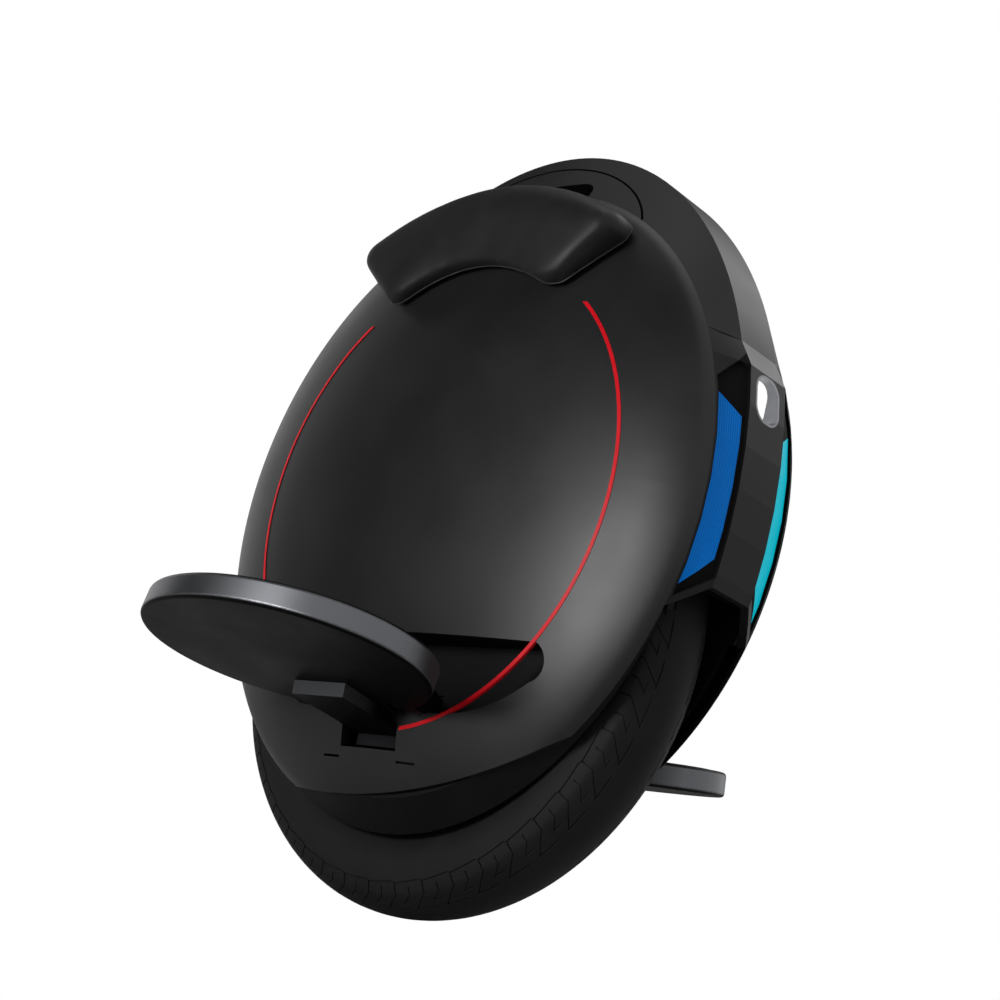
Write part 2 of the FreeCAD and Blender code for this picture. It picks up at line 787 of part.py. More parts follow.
# Bumpers with their lights, made at the front and mirrored for the rear
def make_bumpers():
    front = bumper_block(0.0)
    floor = bumper_block(channel_depth)
    behind_lens = bumper_block(channel_depth + strip_lens_thickness)
    behind_board = bumper_block(channel_depth + strip_lens_thickness + led_board_thickness)
    skin = bumper_skin()
    boards = []
    for side, name in ((-1, "right"), (1, "left")):
        window = strip_prism(side)
        skin = skin.cut(window).cut(channel_prism(side).cut(floor))
        lens = floor.cut(behind_lens).common(window)
        board = behind_lens.cut(behind_board).common(window)
        nodes["light_strip_front_" + name] = lens
        nodes["light_strip_rear_" + name] = mirror_x(lens)
        boards += [board, mirror_x(board)]
    nodes["led_boards"] = Part.makeCompound(boards)

    face_x = bumper_x(lamp_z)
    back_x = face_x - lamp_depth
    cup = round_rect_prism(lamp_width, lamp_height, lamp_corner, lamp_z, back_x, far)
    inside_width = lamp_width - 2 * lamp_wall
    inside_height = lamp_height - 2 * lamp_wall
    inside_corner = lamp_corner - lamp_wall
    bowl = round_rect_prism(inside_width, inside_height, inside_corner, lamp_z, back_x + lamp_wall, far)
    reflector = cup.cut(bowl).common(front)
    skin = skin.cut(cup)
    nodes["front_bumper"] = skin
    nodes["headlight_reflector"] = reflector
    lens_x = face_x - lamp_lens_setback
    lens = round_rect_prism(inside_width, inside_height, inside_corner, lamp_z,
                            lens_x - lamp_lens_thickness, lens_x)
    nodes["headlight_lens"] = lens
    nodes["rear_bumper"] = mirror_x(skin)
    tail = cup.common(bumper_block(tail_lens_setback)).cut(bumper_block(bumper_wall))
    nodes["tail_light_lens"] = mirror_x(tail)


# Leg pad: a closed cushion with a crowned face and drawn-in sides, seated on the dome
def pad_wire(y, shape):
    width_scale, low_lift, height_scale = shape

    def at(point):
        x, z = point
        return vec(x * width_scale, -y, pad_lobe[1] + low_lift + (z - pad_lobe[1]) * height_scale)

    def flip(point):
        return (-point[0], point[1])

    edges = [
        arc(at(flip(pad_shoulder)), at((0, pad_top_z)), at(pad_shoulder)),
        arc(at(pad_shoulder), at(pad_tip), at(pad_tip_low)),
        line(at(pad_tip_low), at(pad_lobe_high)),
        arc(at(pad_lobe_high), at(pad_lobe), at(pad_lobe_in)),
        arc(at(pad_lobe_in), at((0, pad_notch_z)), at(flip(pad_lobe_in))),
        arc(at(flip(pad_lobe_in)), at(flip(pad_lobe)), at(flip(pad_lobe_high))),
        line(at(flip(pad_lobe_high)), at(flip(pad_tip_low))),
        arc(at(flip(pad_tip_low)), at(flip(pad_tip)), at(flip(pad_shoulder))),
    ]
    return Part.Wire(edges)


def make_pads():
    wires = [
        pad_wire(rim_y, pad_root_shape),
        pad_wire(pad_belly_y, pad_belly_shape),
        pad_wire(pad_face_y, pad_face_shape),
        pad_wire(pad_crown_y, pad_crown_shape),
    ]
    pad = Part.makeLoft(wires, True, False)
    both_sides("leg_pad", pad.cut(dome(pad_clearance)))


# Pedals, drawn level about the hinge on the right side, then tilted and moved to the hinge
def place_pedal(shape):
    shape = shape.copy()
    shape.rotate(vec(0, 0, 0), vec(1, 0, 0), -pedal_tilt)
    shape.translate(vec(0, -hinge_y, hinge_z))
    return shape


def pedal_point(s, t, x=0.0):
    return vec(x, -s, t)


def pedal_oval(margin, low_t, high_t):
    circle = Part.Wire([Part.Circle(vec(0, 0, 0), vec(0, 0, 1), 1.0).toShape()])
    stretch = FreeCAD.Matrix(pedal_half_length - margin, 0, 0, 0, 0, pedal_half_reach - margin, 0,
                             -pedal_centre_s, 0, 0, 1, low_t, 0, 0, 0, 1)
    return prism(circle.transformGeometry(stretch), vec(0, 0, high_t - low_t))


def make_pedals():
    low_t = pedal_top_t - pedal_thickness
    plate = pedal_oval(0.0, low_t, pedal_top_t)
    rims = [edge for edge in plate.Edges if abs(edge.BoundBox.ZLength) < 1e-3]
    plate = plate.makeFillet(pedal_rounding, rims)
    plate = plate.common(box(-far, far, -far, -pedal_edge_s, -far, far))

    nose = rod_x(nose_radius, -nose_half_length, nose_half_length, 0, 0)
    nose = nose.fuse(box(-nose_half_length, nose_half_length, -nose_root_s, 0, low_t, pedal_top_t))
    nose = nose.common(box(-far, far, -far, far, -far, pedal_top_t))
    arm_outline = [(nose_root_s, low_t), (arm_block_s, low_t),
                   (arm_block_s - arm_block_lean, low_t - arm_block_drop), (arm_heel_s, arm_heel_t),
                   (arm_tip_s, arm_tip_low_t), (arm_tip_s, arm_tip_high_t), (arm_elbow_s, arm_elbow_t),
                   (0.0, low_t)]
    arm_wire = polygon([pedal_point(s, t, -arm_half_width) for s, t in arm_outline])
    arm = prism(arm_wire, vec(2 * arm_half_width, 0, 0))
    plate = plate.fuse(nose).fuse(arm)
    lug_outer_x = lug_inner_x + lug_width
    for side in (-1, 1):
        notch_a = side * (lug_inner_x - lug_gap)
        notch_b = side * (lug_outer_x + lug_gap)
        plate = plate.cut(rod_x(lug_notch_radius, min(notch_a, notch_b), max(notch_a, notch_b), 0, 0))
    bore = rod_x(hinge_pin_radius + hinge_pin_clearance, -far, far, 0, 0)
    plate = plate.cut(bore)
    inlay_low = pedal_top_t - tread_inlay
    inlay = pedal_oval(tread_margin, inlay_low, inlay_low + tread_thickness)
    inlay = inlay.common(box(-far, far, -far, -lug_notch_radius - tread_margin, -far, far))
    magnet = upright(pedal_magnet_radius, inlay_low - pedal_magnet_height, inlay_low, 0, -pedal_magnet_s)
    plate = plate.cut(inlay).cut(magnet)
    both_sides("pedal_plate", place_pedal(plate))
    both_sides("pedal_tread", place_pedal(inlay))
    both_sides("pedal_magnet", place_pedal(magnet))
    pin = rod_x(hinge_pin_radius, -nose_half_length, nose_half_length, 0, 0)
    both_sides("pedal_hinge_pin", place_pedal(pin))


def bracket_screw_places():
    places = []
    for x in (-bracket_screw_x, bracket_screw_x):
        for z in (axle_z + bracket_screw_rise, axle_z - bracket_screw_drop):
            places.append((x, z))
    return places


def make_brackets():
    plate = box(-bracket_half_width, bracket_half_width, -bracket_outer_y, -wall_outer_y,
                bracket_low_z, bracket_high_z)
    corners = [edge for edge in plate.Edges if edge.BoundBox.YLength > bracket_thickness / 2]
    plate = plate.makeFillet(bracket_round, corners)
    lug_outer_x = lug_inner_x + lug_width
    for side in (-1, 1):
        low_x = min(side * lug_inner_x, side * lug_outer_x)
        lug = rod_x(lug_radius, low_x, low_x + lug_width, -hinge_y, hinge_z)
        lug = lug.fuse(box(low_x, low_x + lug_width, -hinge_y, -wall_outer_y,
                           hinge_z - lug_arm_half_height, hinge_z + lug_arm_half_height))
        plate = plate.fuse(lug)
    tilt = math.radians(pedal_tilt)
    tip_y = hinge_y + math.cos(tilt) * arm_tip_s - math.sin(tilt) * arm_tip_high_t
    stop = box(-stop_half_width, stop_half_width, -tip_y + stop_gap, -wall_outer_y, stop_low_z, stop_high_z)
    plate = plate.fuse(stop)
    plate = plate.cut(rod_x(hinge_pin_radius + fastener_clearance / 2, -far, far, -hinge_y, hinge_z))
    plate = plate.cut(rod_y(axle_radius + fastener_clearance / 2, -far, far))
    screws = []
    head_y = bracket_outer_y + bracket_screw_head_height
    for x, z in bracket_screw_places():
        plate = plate.cut(rod_y(bracket_screw_radius + fastener_clearance, -far, 0, x, z))
        screw = rod_y(bracket_screw_radius, -bracket_outer_y, -wall_y, x, z)
        screws.append(screw.fuse(rod_y(bracket_screw_head, -head_y, -bracket_outer_y, x, z)))
    both_sides("pedal_bracket", plate)
    nodes["bracket_screws"] = Part.makeCompound(screws + [mirror_y(item) for item in screws])


# Batteries, controller, heat sink and the motor cable
def make_power():
    battery = box(-battery_half_length, battery_half_length, -wall_outer_y - battery_thickness, -wall_outer_y,
                  battery_low_z, battery_high_z)
    corners = [edge for edge in battery.Edges if edge.BoundBox.YLength > battery_thickness / 2]
    both_sides("battery_pack", battery.makeFillet(battery_round, corners))

    sink = box(-sink_half_length, sink_half_length, -sink_half_width, sink_half_width, axle_z, sink_top_z)
    sink = sink.cut(rod_y(arch_outer_radius, -far, far))
    fin_pitch = 2 * sink_half_width / sink_fin_count
    for index in range(1, sink_fin_count):
        gap_y = -sink_half_width + index * fin_pitch
        gap = box(-far, far, gap_y - sink_fin_gap / 2, gap_y + sink_fin_gap / 2,
                  axle_z, sink_top_z - sink_base)
        outside = rod_y(arch_outer_radius + sink_base, -far, far)
        sink = sink.cut(gap.cut(outside))
    nodes["heat_sink"] = sink

    board_top = sink_top_z + board_thickness
    board = box(-board_half_length, board_half_length, -board_half_width, board_half_width,
                sink_top_z, board_top)
    for index in (-1, 0, 1):
        board = board.fuse(upright(capacitor_radius, board_top, board_top + capacitor_height,
                                   index * capacitor_pitch, -capacitor_radius))
    # The plug stands on the board and takes the end of the motor cable.
    plug_y = board_half_width - cable_bend
    board = board.fuse(box(-plug_half_length, plug_half_length, plug_y - plug_width, plug_y,
                           board_top, cable_top_z + plug_rise))
    nodes["controller_board"] = board

    # The motor cable leaves the axle's left end, climbs past the battery and turns in to the board.
    bend = cable_bend
    run_y = axle_half_length + bend
    cut = bend * math.sqrt(0.5)
    start = vec(0, axle_half_length - bend, axle_z)
    turn_a = vec(0, run_y - bend, axle_z)
    turn_b = vec(0, run_y, axle_z + bend)
    turn_c = vec(0, run_y, cable_top_z - bend)
    turn_d = vec(0, run_y - bend, cable_top_z)
    finish = vec(0, plug_y, cable_top_z)
    path = Part.Wire([
        line(start, turn_a),
        arc(turn_a, vec(0, run_y - bend + cut, axle_z + bend - cut), turn_b),
        line(turn_b, turn_c),
        arc(turn_c, vec(0, run_y - bend + cut, cable_top_z - bend + cut), turn_d),
        line(turn_d, finish),
    ])
    section = Part.Wire([Part.Circle(start, vec(0, 1, 0), cable_radius).toShape()])
    cable = path.makePipeShell([section], True, False)
    nodes["motor_cable"] = cable


# Power button in its housing, and the charge socket with its hinged cap
def make_crest_fittings():
    inside = button_radius + button_clearance
    housing = upright(inside + housing_wall, -housing_depth, -spot_depth)
    housing = housing.fuse(upright(bezel_radius, -spot_depth, bezel_height))
    housing = housing.cut(upright(inside, -housing_depth + housing_wall, far))
    nodes["button_housing"] = on_crest(housing, button_x)
    button = upright(button_radius, button_proud - button_depth, button_proud)
    top_edges = [edge for edge in button.Edges if edge.BoundBox.ZMin > button_proud - 1e-3]
    nodes["power_button"] = on_crest(button.makeFillet(button_rounding, top_edges), button_x)
    switch_top = button_proud - button_depth - button_travel - button_clearance
    switch = box(-switch_half_width, switch_half_width, -switch_half_width, switch_half_width,
                 -housing_depth + housing_wall, switch_top)
    nodes["button_switch"] = on_crest(switch, button_x)

    socket_radius = port_bore_radius + port_wall
    seat = bezel_height - spot_depth
    socket = upright(socket_radius, seat - port_bore_depth - port_floor, seat)
    socket = socket.fuse(upright(bezel_radius, -spot_depth, seat))
    ear_inner = cap_knuckle_half + cap_ear_gap
    for side in (-1, 1):
        low_y = min(side * ear_inner, side * (ear_inner + cap_ear_width))
        ear = Part.makeCylinder(cap_knuckle_radius, cap_ear_width,
                                vec(-cap_axis_reach, low_y, cap_axis_height), vec(0, 1, 0))
        ear = ear.fuse(box(-cap_axis_reach - cap_knuckle_radius, -cap_axis_reach + cap_knuckle_radius,
                           low_y, low_y + cap_ear_width, -spot_depth, cap_axis_height))
        socket = socket.fuse(ear)
    socket = socket.cut(upright(port_bore_radius, seat - port_bore_depth, far))
    ear_outer = ear_inner + cap_ear_width
    pin = Part.makeCylinder(cap_pin_radius, 2 * ear_outer, vec(-cap_axis_reach, -ear_outer, cap_axis_height),
                            vec(0, 1, 0))
    socket = socket.cut(pin)
    nodes["charge_socket"] = on_crest(socket, port_x)
    nodes["cap_pin"] = on_crest(pin, port_x)
    cap_low = seat + cap_gap
    cap = upright(cap_radius, cap_low, cap_low + cap_thickness)
    cap = cap.fuse(box(-cap_axis_reach, 0, -cap_knuckle_half, cap_knuckle_half, cap_low, cap_low + cap_thickness))
    knuckle = Part.makeCylinder(cap_knuckle_radius, 2 * cap_knuckle_half,
                                vec(-cap_axis_reach, -cap_knuckle_half, cap_axis_height), vec(0, 1, 0))
    cap = cap.fuse(knuckle)
    hole = Part.makeCylinder(cap_pin_radius + cap_pin_clearance, far,
                             vec(-cap_axis_reach, -far / 2, cap_axis_height), vec(0, 1, 0))
    nodes["charge_cap"] = on_crest(cap.cut(hole), port_x)


make_tyre()
make_hub()
make_motor()
make_spine()
make_side_shells()
make_bumpers()
make_pads()
make_pedals()
make_brackets()
make_power()
make_crest_fittings()

os.makedirs("parts", exist_ok=True)
for name in sorted(nodes):
    shape = nodes[name]
    print(name, len(shape.Solids), "solids", round(shape.Volume), "mm3", "valid" if shape.isValid() else "INVALID")
    shape.exportStep("parts/" + name + ".step")
print(len(nodes), "nodes")
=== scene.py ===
import bmesh
import bpy
import math
from mathutils import Matrix, Vector


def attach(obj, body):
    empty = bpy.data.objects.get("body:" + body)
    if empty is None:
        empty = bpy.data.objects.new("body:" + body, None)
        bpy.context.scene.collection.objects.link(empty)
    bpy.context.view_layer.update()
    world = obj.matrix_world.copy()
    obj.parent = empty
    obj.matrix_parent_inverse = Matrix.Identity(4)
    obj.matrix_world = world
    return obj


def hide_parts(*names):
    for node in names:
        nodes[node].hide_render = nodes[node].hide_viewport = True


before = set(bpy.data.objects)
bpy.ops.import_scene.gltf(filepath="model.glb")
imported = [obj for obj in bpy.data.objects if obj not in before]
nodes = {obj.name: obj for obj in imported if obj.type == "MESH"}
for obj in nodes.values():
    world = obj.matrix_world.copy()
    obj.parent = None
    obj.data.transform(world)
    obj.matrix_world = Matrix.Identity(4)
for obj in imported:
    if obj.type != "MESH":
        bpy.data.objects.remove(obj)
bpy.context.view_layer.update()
scene = bpy.context.scene
mm = 0.001
sides = {"left": 1, "right": -1}  # towards +Y and towards -Y
print("frame loaded,", len(nodes), "nodes")


def linear(hexText):  # sRGB hex to the linear colour that shaders take
    parts = [int(hexText[i:i + 2], 16) / 255 for i in (1, 3, 5)]
    return [p / 12.92 if p <= 0.04045 else ((p + 0.055) / 1.055) ** 2.4 for p in parts] + [1.0]


def addNode(tree, kind, settings=None, links=None):  # sockets go by name, or by number where names repeat
    node = tree.nodes.new(kind)
    for key, value in (settings or {}).items():
        if isinstance(key, str) and hasattr(node, key):
            setattr(node, key, value)
        else:
            node.inputs[key].default_value = value
    for socket, source in (links or {}).items():
        tree.links.new(source, node.inputs[socket])
    return node


def newMaterial(name):
    material = bpy.data.materials.new(name)
    material.use_nodes = True
    material.node_tree.nodes.clear()
    return material, material.node_tree


# Moulded, sprayed and cut finishes: a slow mottle in colour and gloss, and a grain that breaks up highlights.
# The real grain is under half a millimetre, and is drawn as coarse as it needs to show.
usual = {"uneven": 0.03, "bumpHeight": 0.1, "metallic": 0.0, "specular": 0.5, "coat": 0.0, "glow": 0.0}
noiseSpan = {"From Min": 0.3, "From Max": 0.7}  # where most of a noise's values lie
finishes = {
    # painted ABS, sprayed satin black: soft wide highlights, almost no texture
    "satinBlackAbs": {"dark": "#0f0f10", "light": "#131314", "roughness": 0.40, "grain": 1.6, "mottle": 60,
                      "bump": 0.03, "specular": 0.3},
    # moulded ABS in dark grey, a little lighter and duller than the shells
    "greyAbs": {"dark": "#171718", "light": "#1c1c1d", "roughness": 0.46, "grain": 1.6, "mottle": 50,
                "bump": 0.06, "specular": 0.14},
    # glass-filled nylon, moulded black: near black with a broad weak sheen
    "blackNylon": {"dark": "#050506", "light": "#080809", "roughness": 0.5, "grain": 2.0, "mottle": 40,
                   "bump": 0.08, "specular": 0.12},
    # near-black, matt finish of the tube laid along the joints between mouldings
    "nearBlackJoint": {"dark": "#020202", "light": "#040404", "roughness": 0.9, "grain": 0.8, "mottle": 12,
                 "bump": 0.2, "specular": 0.0},
    # welt of the leg pads, a folded edge of the skin, painted grey as a highlight along the seam
    "weltPaintedHighlight": {"dark": "#2c2c2e", "light": "#38383a", "roughness": 0.45, "grain": 0.9, "mottle": 9,
                   "bump": 0.1, "specular": 0.3},
    # enamel line, sprayed through a mask: clean red with a light gloss
    "redEnamel": {"dark": "#b00c17", "light": "#ba101c", "roughness": 0.4, "grain": 1.5, "mottle": 30,
                  "bump": 0.03, "specular": 0.1},
    # moulded rubber, dusty black: dull with a fine skin
    "mouldedRubber": {"dark": "#0e0e0f", "light": "#141415", "roughness": 0.66, "grain": 1.2, "mottle": 25,
                      "bump": 0.10, "specular": 0.14},
    # turned aluminium of the rim and covers: pale satin metal
    "turnedAluminium": {"dark": "#8c8e92", "light": "#a2a4a8", "roughness": 0.36, "grain": 1.4, "mottle": 30,
                        "bump": 0.08, "metallic": 1.0},
    # die-cast aluminium, bead blasted and dyed: black metal with a dull grain
    "castAluminium": {"dark": "#1c1c1e", "light": "#242426", "roughness": 0.5, "grain": 1.2, "mottle": 22,
                      "bump": 0.2, "metallic": 1.0},
    # ground steel of pins, axle and bearings: bright and nearly smooth
    "groundSteel": {"dark": "#9a9b9e", "light": "#b0b1b4", "roughness": 0.28, "grain": 1.0, "mottle": 12,
                    "bump": 0.05, "metallic": 1.0},
    # zinc-plated screws and nuts: greyer than the steel
    "zincPlate": {"dark": "#77787b", "light": "#8d8e90", "roughness": 0.38, "grain": 0.9, "mottle": 8,
                  "bump": 0.08, "metallic": 1.0},
    # stacked electrical steel of the stator and nickel of the magnets: dark grey metal
    "electricalSteel": {"dark": "#57585b", "light": "#6a6b6f", "roughness": 0.45, "grain": 0.8, "mottle": 14,
                        "bump": 0.2, "metallic": 1.0},
    # enamelled copper wire, wound: warm brown metal
    "enamelledCopper": {"dark": "#9c4f22", "light": "#b9652e", "roughness": 0.34, "grain": 0.9, "mottle": 6,
                        "bump": 0.4, "metallic": 1.0},
    # drawn brass of the valve: yellow and smooth
    "drawnBrass": {"dark": "#a98a45", "light": "#bf9e55", "roughness": 0.32, "grain": 0.9, "mottle": 8,
                   "bump": 0.05, "metallic": 1.0},
    # lacquered circuit board: green with a slight gloss
    "boardLacquer": {"dark": "#0d4a26", "light": "#12582f", "roughness": 0.4, "grain": 1.0, "mottle": 7,
                     "bump": 0.2, "specular": 0.4},
    # shrink film round the cells: blue and glossy, with small puckers
    "shrinkFilm": {"dark": "#123a7a", "light": "#17468f", "roughness": 0.3, "grain": 3.0, "mottle": 18,
                   "bump": 0.3, "specular": 0.5},
    # moulded acrylic of the tail light: deep red under a clear skin
    "redAcrylic": {"dark": "#7d0a12", "light": "#8f0f18", "roughness": 0.16, "grain": 2.0, "mottle": 14,
                   "bump": 0.05, "specular": 0.5, "coat": 0.3},
    # vacuum-plated chrome of the lamp cup: grey mirror, a little soft
    "platedChrome": {"dark": "#6c6d70", "light": "#7d7e81", "roughness": 0.22, "grain": 2.0, "mottle": 20,
                     "bump": 0.03, "metallic": 1.0},
    # opal polycarbonate over the lamp, lit: milky white
    "opalLens": {"dark": "#eef1f4", "light": "#ffffff", "roughness": 0.25, "grain": 2.0, "mottle": 10,
                 "bump": 0.05, "specular": 0.5, "glow": 0.8},
}


def mouldedFinish(name, spec):
    spec = {**usual, **spec}
    material, tree = newMaterial(name)
    place = {"Vector": addNode(tree, "ShaderNodeTexCoord").outputs["Object"]}
    mottle = addNode(tree, "ShaderNodeTexNoise", {"Scale": 1 / (spec["mottle"] * mm), "Detail": 3.0}, place)
    grain = addNode(tree, "ShaderNodeTexNoise", {"Scale": 1 / (spec["grain"] * mm), "Detail": 2.0}, place)
    patches = {"Value": mottle.outputs["Fac"]}
    share = addNode(tree, "ShaderNodeMapRange", noiseSpan, patches)
    colour = addNode(tree, "ShaderNodeMix",
                     {"data_type": "RGBA", 6: linear(spec["dark"]), 7: linear(spec["light"])},
                     {0: share.outputs["Result"]})
    gloss = addNode(tree, "ShaderNodeMapRange",
                    {**noiseSpan, "To Min": spec["roughness"] - spec["uneven"],
                     "To Max": spec["roughness"] + spec["uneven"]}, patches)
    bump = addNode(tree, "ShaderNodeBump", {"Strength": spec["bump"], "Distance": spec["bumpHeight"] * mm},
                   {"Height": grain.outputs["Fac"]})
    shader = addNode(tree, "ShaderNodeBsdfPrincipled",
                     {"Metallic": spec["metallic"], "Specular IOR Level": spec["specular"],
                      "Coat Weight": spec["coat"], "Emission Color": linear(spec["light"]),
                      "Emission Strength": spec["glow"]},
                     {"Base Color": colour.outputs[2], "Roughness": gloss.outputs["Result"],
                      "Normal": bump.outputs["Normal"]})
    addNode(tree, "ShaderNodeOutputMaterial", {}, {"Surface": shader.outputs["BSDF"]})
    return material


made = {name: mouldedFinish(name, spec) for name, spec in finishes.items()}

# Foam pad skin: smooth polyurethane over foam, soft pebble, faint sheen at the edges
padSkin = {"dark": "#0e0e0f", "light": "#131313", "pebble": 1.8, "scatter": 0.9, "wear": 25,
           "roughness": (0.45, 0.55), "bump": 0.10, "bumpHeight": 0.15, "specular": 0.2, "sheen": 0.02}


def makePadSkin():
    material, tree = newMaterial("polyurethaneSkin")
    place = {"Vector": addNode(tree, "ShaderNodeTexCoord").outputs["Object"]}
    pebble = addNode(tree, "ShaderNodeTexVoronoi",
                     {"Scale": 1 / (padSkin["pebble"] * mm), "Randomness": padSkin["scatter"]}, place)
    wear = addNode(tree, "ShaderNodeTexNoise", {"Scale": 1 / (padSkin["wear"] * mm), "Detail": 4.0}, place)
    patches = {"Value": wear.outputs["Fac"]}
    share = addNode(tree, "ShaderNodeMapRange", noiseSpan, patches)
    colour = addNode(tree, "ShaderNodeMix",
                     {"data_type": "RGBA", 6: linear(padSkin["dark"]), 7: linear(padSkin["light"])},
                     {0: share.outputs["Result"]})
    smooth, rough = padSkin["roughness"]
    gloss = addNode(tree, "ShaderNodeMapRange", {**noiseSpan, "To Min": smooth, "To Max": rough}, patches)
    bump = addNode(tree, "ShaderNodeBump",
                   {"Strength": padSkin["bump"], "Distance": padSkin["bumpHeight"] * mm},
                   {"Height": pebble.outputs["Distance"]})
    shader = addNode(tree, "ShaderNodeBsdfPrincipled",
                     {"Specular IOR Level": padSkin["specular"], "Sheen Weight": padSkin["sheen"]},
                     {"Base Color": colour.outputs[2], "Roughness": gloss.outputs["Result"],
                      "Normal": bump.outputs["Normal"]})
    addNode(tree, "ShaderNodeOutputMaterial", {}, {"Surface": shader.outputs["BSDF"]})
    return material


# Polycarbonate light guide: clear blue with fine ribs along its length, lit a little from behind
lightGuide = {"ribPitch": 1.5, "ribSpan": (0.1, 0.9), "haze": 30, "roughness": (0.2, 0.28), "bump": 0.3,
              "bumpHeight": 0.4, "specular": 0.04}
guideTints = {  # dark, light, glow
    "blueGuide": ("#05559f", "#0764b6", 0.35),
    # the far strips are the same blue guide with painted light: paler cyan colour and a stronger glow
    "blueGuidePaintedLit": ("#01a3b8", "#02bccf", 0.5),
}


def makeLightGuide(name, dark, light, glow):
    waveLength = 0.314  # of one band of the wave texture at scale 1
    material, tree = newMaterial(name)
    place = {"Vector": addNode(tree, "ShaderNodeTexCoord").outputs["Object"]}
    ribs = addNode(tree, "ShaderNodeTexWave",
                   {"wave_type": "BANDS", "bands_direction": "Y",
                    "Scale": waveLength / (lightGuide["ribPitch"] * mm)}, place)
    haze = addNode(tree, "ShaderNodeTexNoise", {"Scale": 1 / (lightGuide["haze"] * mm), "Detail": 2.0}, place)
    low, high = lightGuide["ribSpan"]
    share = addNode(tree, "ShaderNodeMapRange", {"From Min": low, "From Max": high},
                    {"Value": ribs.outputs["Fac"]})
    colour = addNode(tree, "ShaderNodeMix", {"data_type": "RGBA", 6: linear(dark), 7: linear(light)},
                     {0: share.outputs["Result"]})
    smooth, rough = lightGuide["roughness"]
    gloss = addNode(tree, "ShaderNodeMapRange", {**noiseSpan, "To Min": smooth, "To Max": rough},
                    {"Value": haze.outputs["Fac"]})
    bump = addNode(tree, "ShaderNodeBump",
                   {"Strength": lightGuide["bump"], "Distance": lightGuide["bumpHeight"] * mm},
                   {"Height": ribs.outputs["Fac"]})
    shader = addNode(tree, "ShaderNodeBsdfPrincipled",
                     {"Emission Strength": glow, "Specular IOR Level": lightGuide["specular"]},
                     {"Base Color": colour.outputs[2], "Emission Color": colour.outputs[2],
                      "Roughness": gloss.outputs["Result"], "Normal": bump.outputs["Normal"]})
    addNode(tree, "ShaderNodeOutputMaterial", {}, {"Surface": shader.outputs["BSDF"]})
    return material


# Moulded ABS of the bumpers: a grey face, and painted shade in the channels beside it, deep black and left
# dull
bumperAbs = {
    # the channel colour is painted shade: near black where the recessed channels lie in shadow
    "face": "#171718", "shadedChannel": "#020202", "roughness": (0.41, 0.47), "dull": 0.9, "specular": 0.12,
    "mottle": 45, "grain": 1.6, "bump": 0.05, "bumpHeight": 0.1,
    # the channel lies between two widths and between two slanted lines, each height plus slope times width
    "slopes": {"top": 1.11, "low": 0.87},
    # edge, where it is, how soft it is, share of channel before and beyond it
    "edges": [("width", 17.7, 0.2, 0.0, 1.0), ("width", 37.9, 0.2, 1.0, 0.0),
              ("top", 371.4, 0.3, 1.0, 0.0), ("low", 229.0, 0.3, 0.0, 1.0)],
}


def makeBumperAbs():
    material, tree = newMaterial("bumperAbs")
    place = {"Vector": addNode(tree, "ShaderNodeTexCoord").outputs["Object"]}
    mottle = addNode(tree, "ShaderNodeTexNoise",
                     {"Scale": 1 / (bumperAbs["mottle"] * mm), "Detail": 3.0}, place)
    grain = addNode(tree, "ShaderNodeTexNoise",
                    {"Scale": 1 / (bumperAbs["grain"] * mm), "Detail": 2.0}, place)
    axes = addNode(tree, "ShaderNodeSeparateXYZ", {}, place)
    width = addNode(tree, "ShaderNodeMath", {"operation": "ABSOLUTE"}, {0: axes.outputs["Y"]})
    measures = {"width": width}
    for line, slope in bumperAbs["slopes"].items():
        measures[line] = addNode(tree, "ShaderNodeMath", {"operation": "MULTIPLY_ADD", 1: slope},
                                 {0: width.outputs[0], 2: axes.outputs["Z"]})
    inside = []
    for edge, at, soft, before, beyond in bumperAbs["edges"]:
        inside.append(addNode(tree, "ShaderNodeMapRange",
                              {"From Min": at * mm, "From Max": (at + soft) * mm, "To Min": before,
                               "To Max": beyond}, {"Value": measures[edge].outputs[0]}))
    shadedChannel = inside[0].outputs["Result"]
    for edge in inside[1:]:
        both = addNode(tree, "ShaderNodeMath", {"operation": "MULTIPLY"},
                       {0: shadedChannel, 1: edge.outputs["Result"]})
        shadedChannel = both.outputs[0]
    # painted shade: the channel mask turns the colour near black
    colour = addNode(tree, "ShaderNodeMix",
                     {"data_type": "RGBA", 6: linear(bumperAbs["face"]), 7: linear(bumperAbs["shadedChannel"])},
                     {0: shadedChannel})
    smooth, rough = bumperAbs["roughness"]
    worn = addNode(tree, "ShaderNodeMapRange", {**noiseSpan, "To Min": smooth, "To Max": rough},
                   {"Value": mottle.outputs["Fac"]})
    gloss = addNode(tree, "ShaderNodeMix", {3: bumperAbs["dull"]}, {0: shadedChannel, 2: worn.outputs["Result"]})
    bump = addNode(tree, "ShaderNodeBump",
                   {"Strength": bumperAbs["bump"], "Distance": bumperAbs["bumpHeight"] * mm},
                   {"Height": grain.outputs["Fac"]})
    shader = addNode(tree, "ShaderNodeBsdfPrincipled", {"Specular IOR Level": bumperAbs["specular"]},
                     {"Base Color": colour.outputs[2], "Roughness": gloss.outputs[0],
                      "Normal": bump.outputs["Normal"]})
    addNode(tree, "ShaderNodeOutputMaterial", {}, {"Surface": shader.outputs["BSDF"]})
    return material


# Powder-coated magnesium: dark flat faces, and a rim turned back to pale satin metal.
# The plate's faces lie at its tilt, and the coat is kept near the hinge and worn off the rim further out.
pedalCoat = {"face": "#070708", "rim": "#5e5f62", "roughness": (0.36, 0.44), "specular": 0.03, "tilt": 9,
             "bare": (78.0, 118.0), "edgeOn": (0.15, 0.55), "mottle": 45, "grain": 1.4, "bump": 0.08,
             "bumpHeight": 0.1}


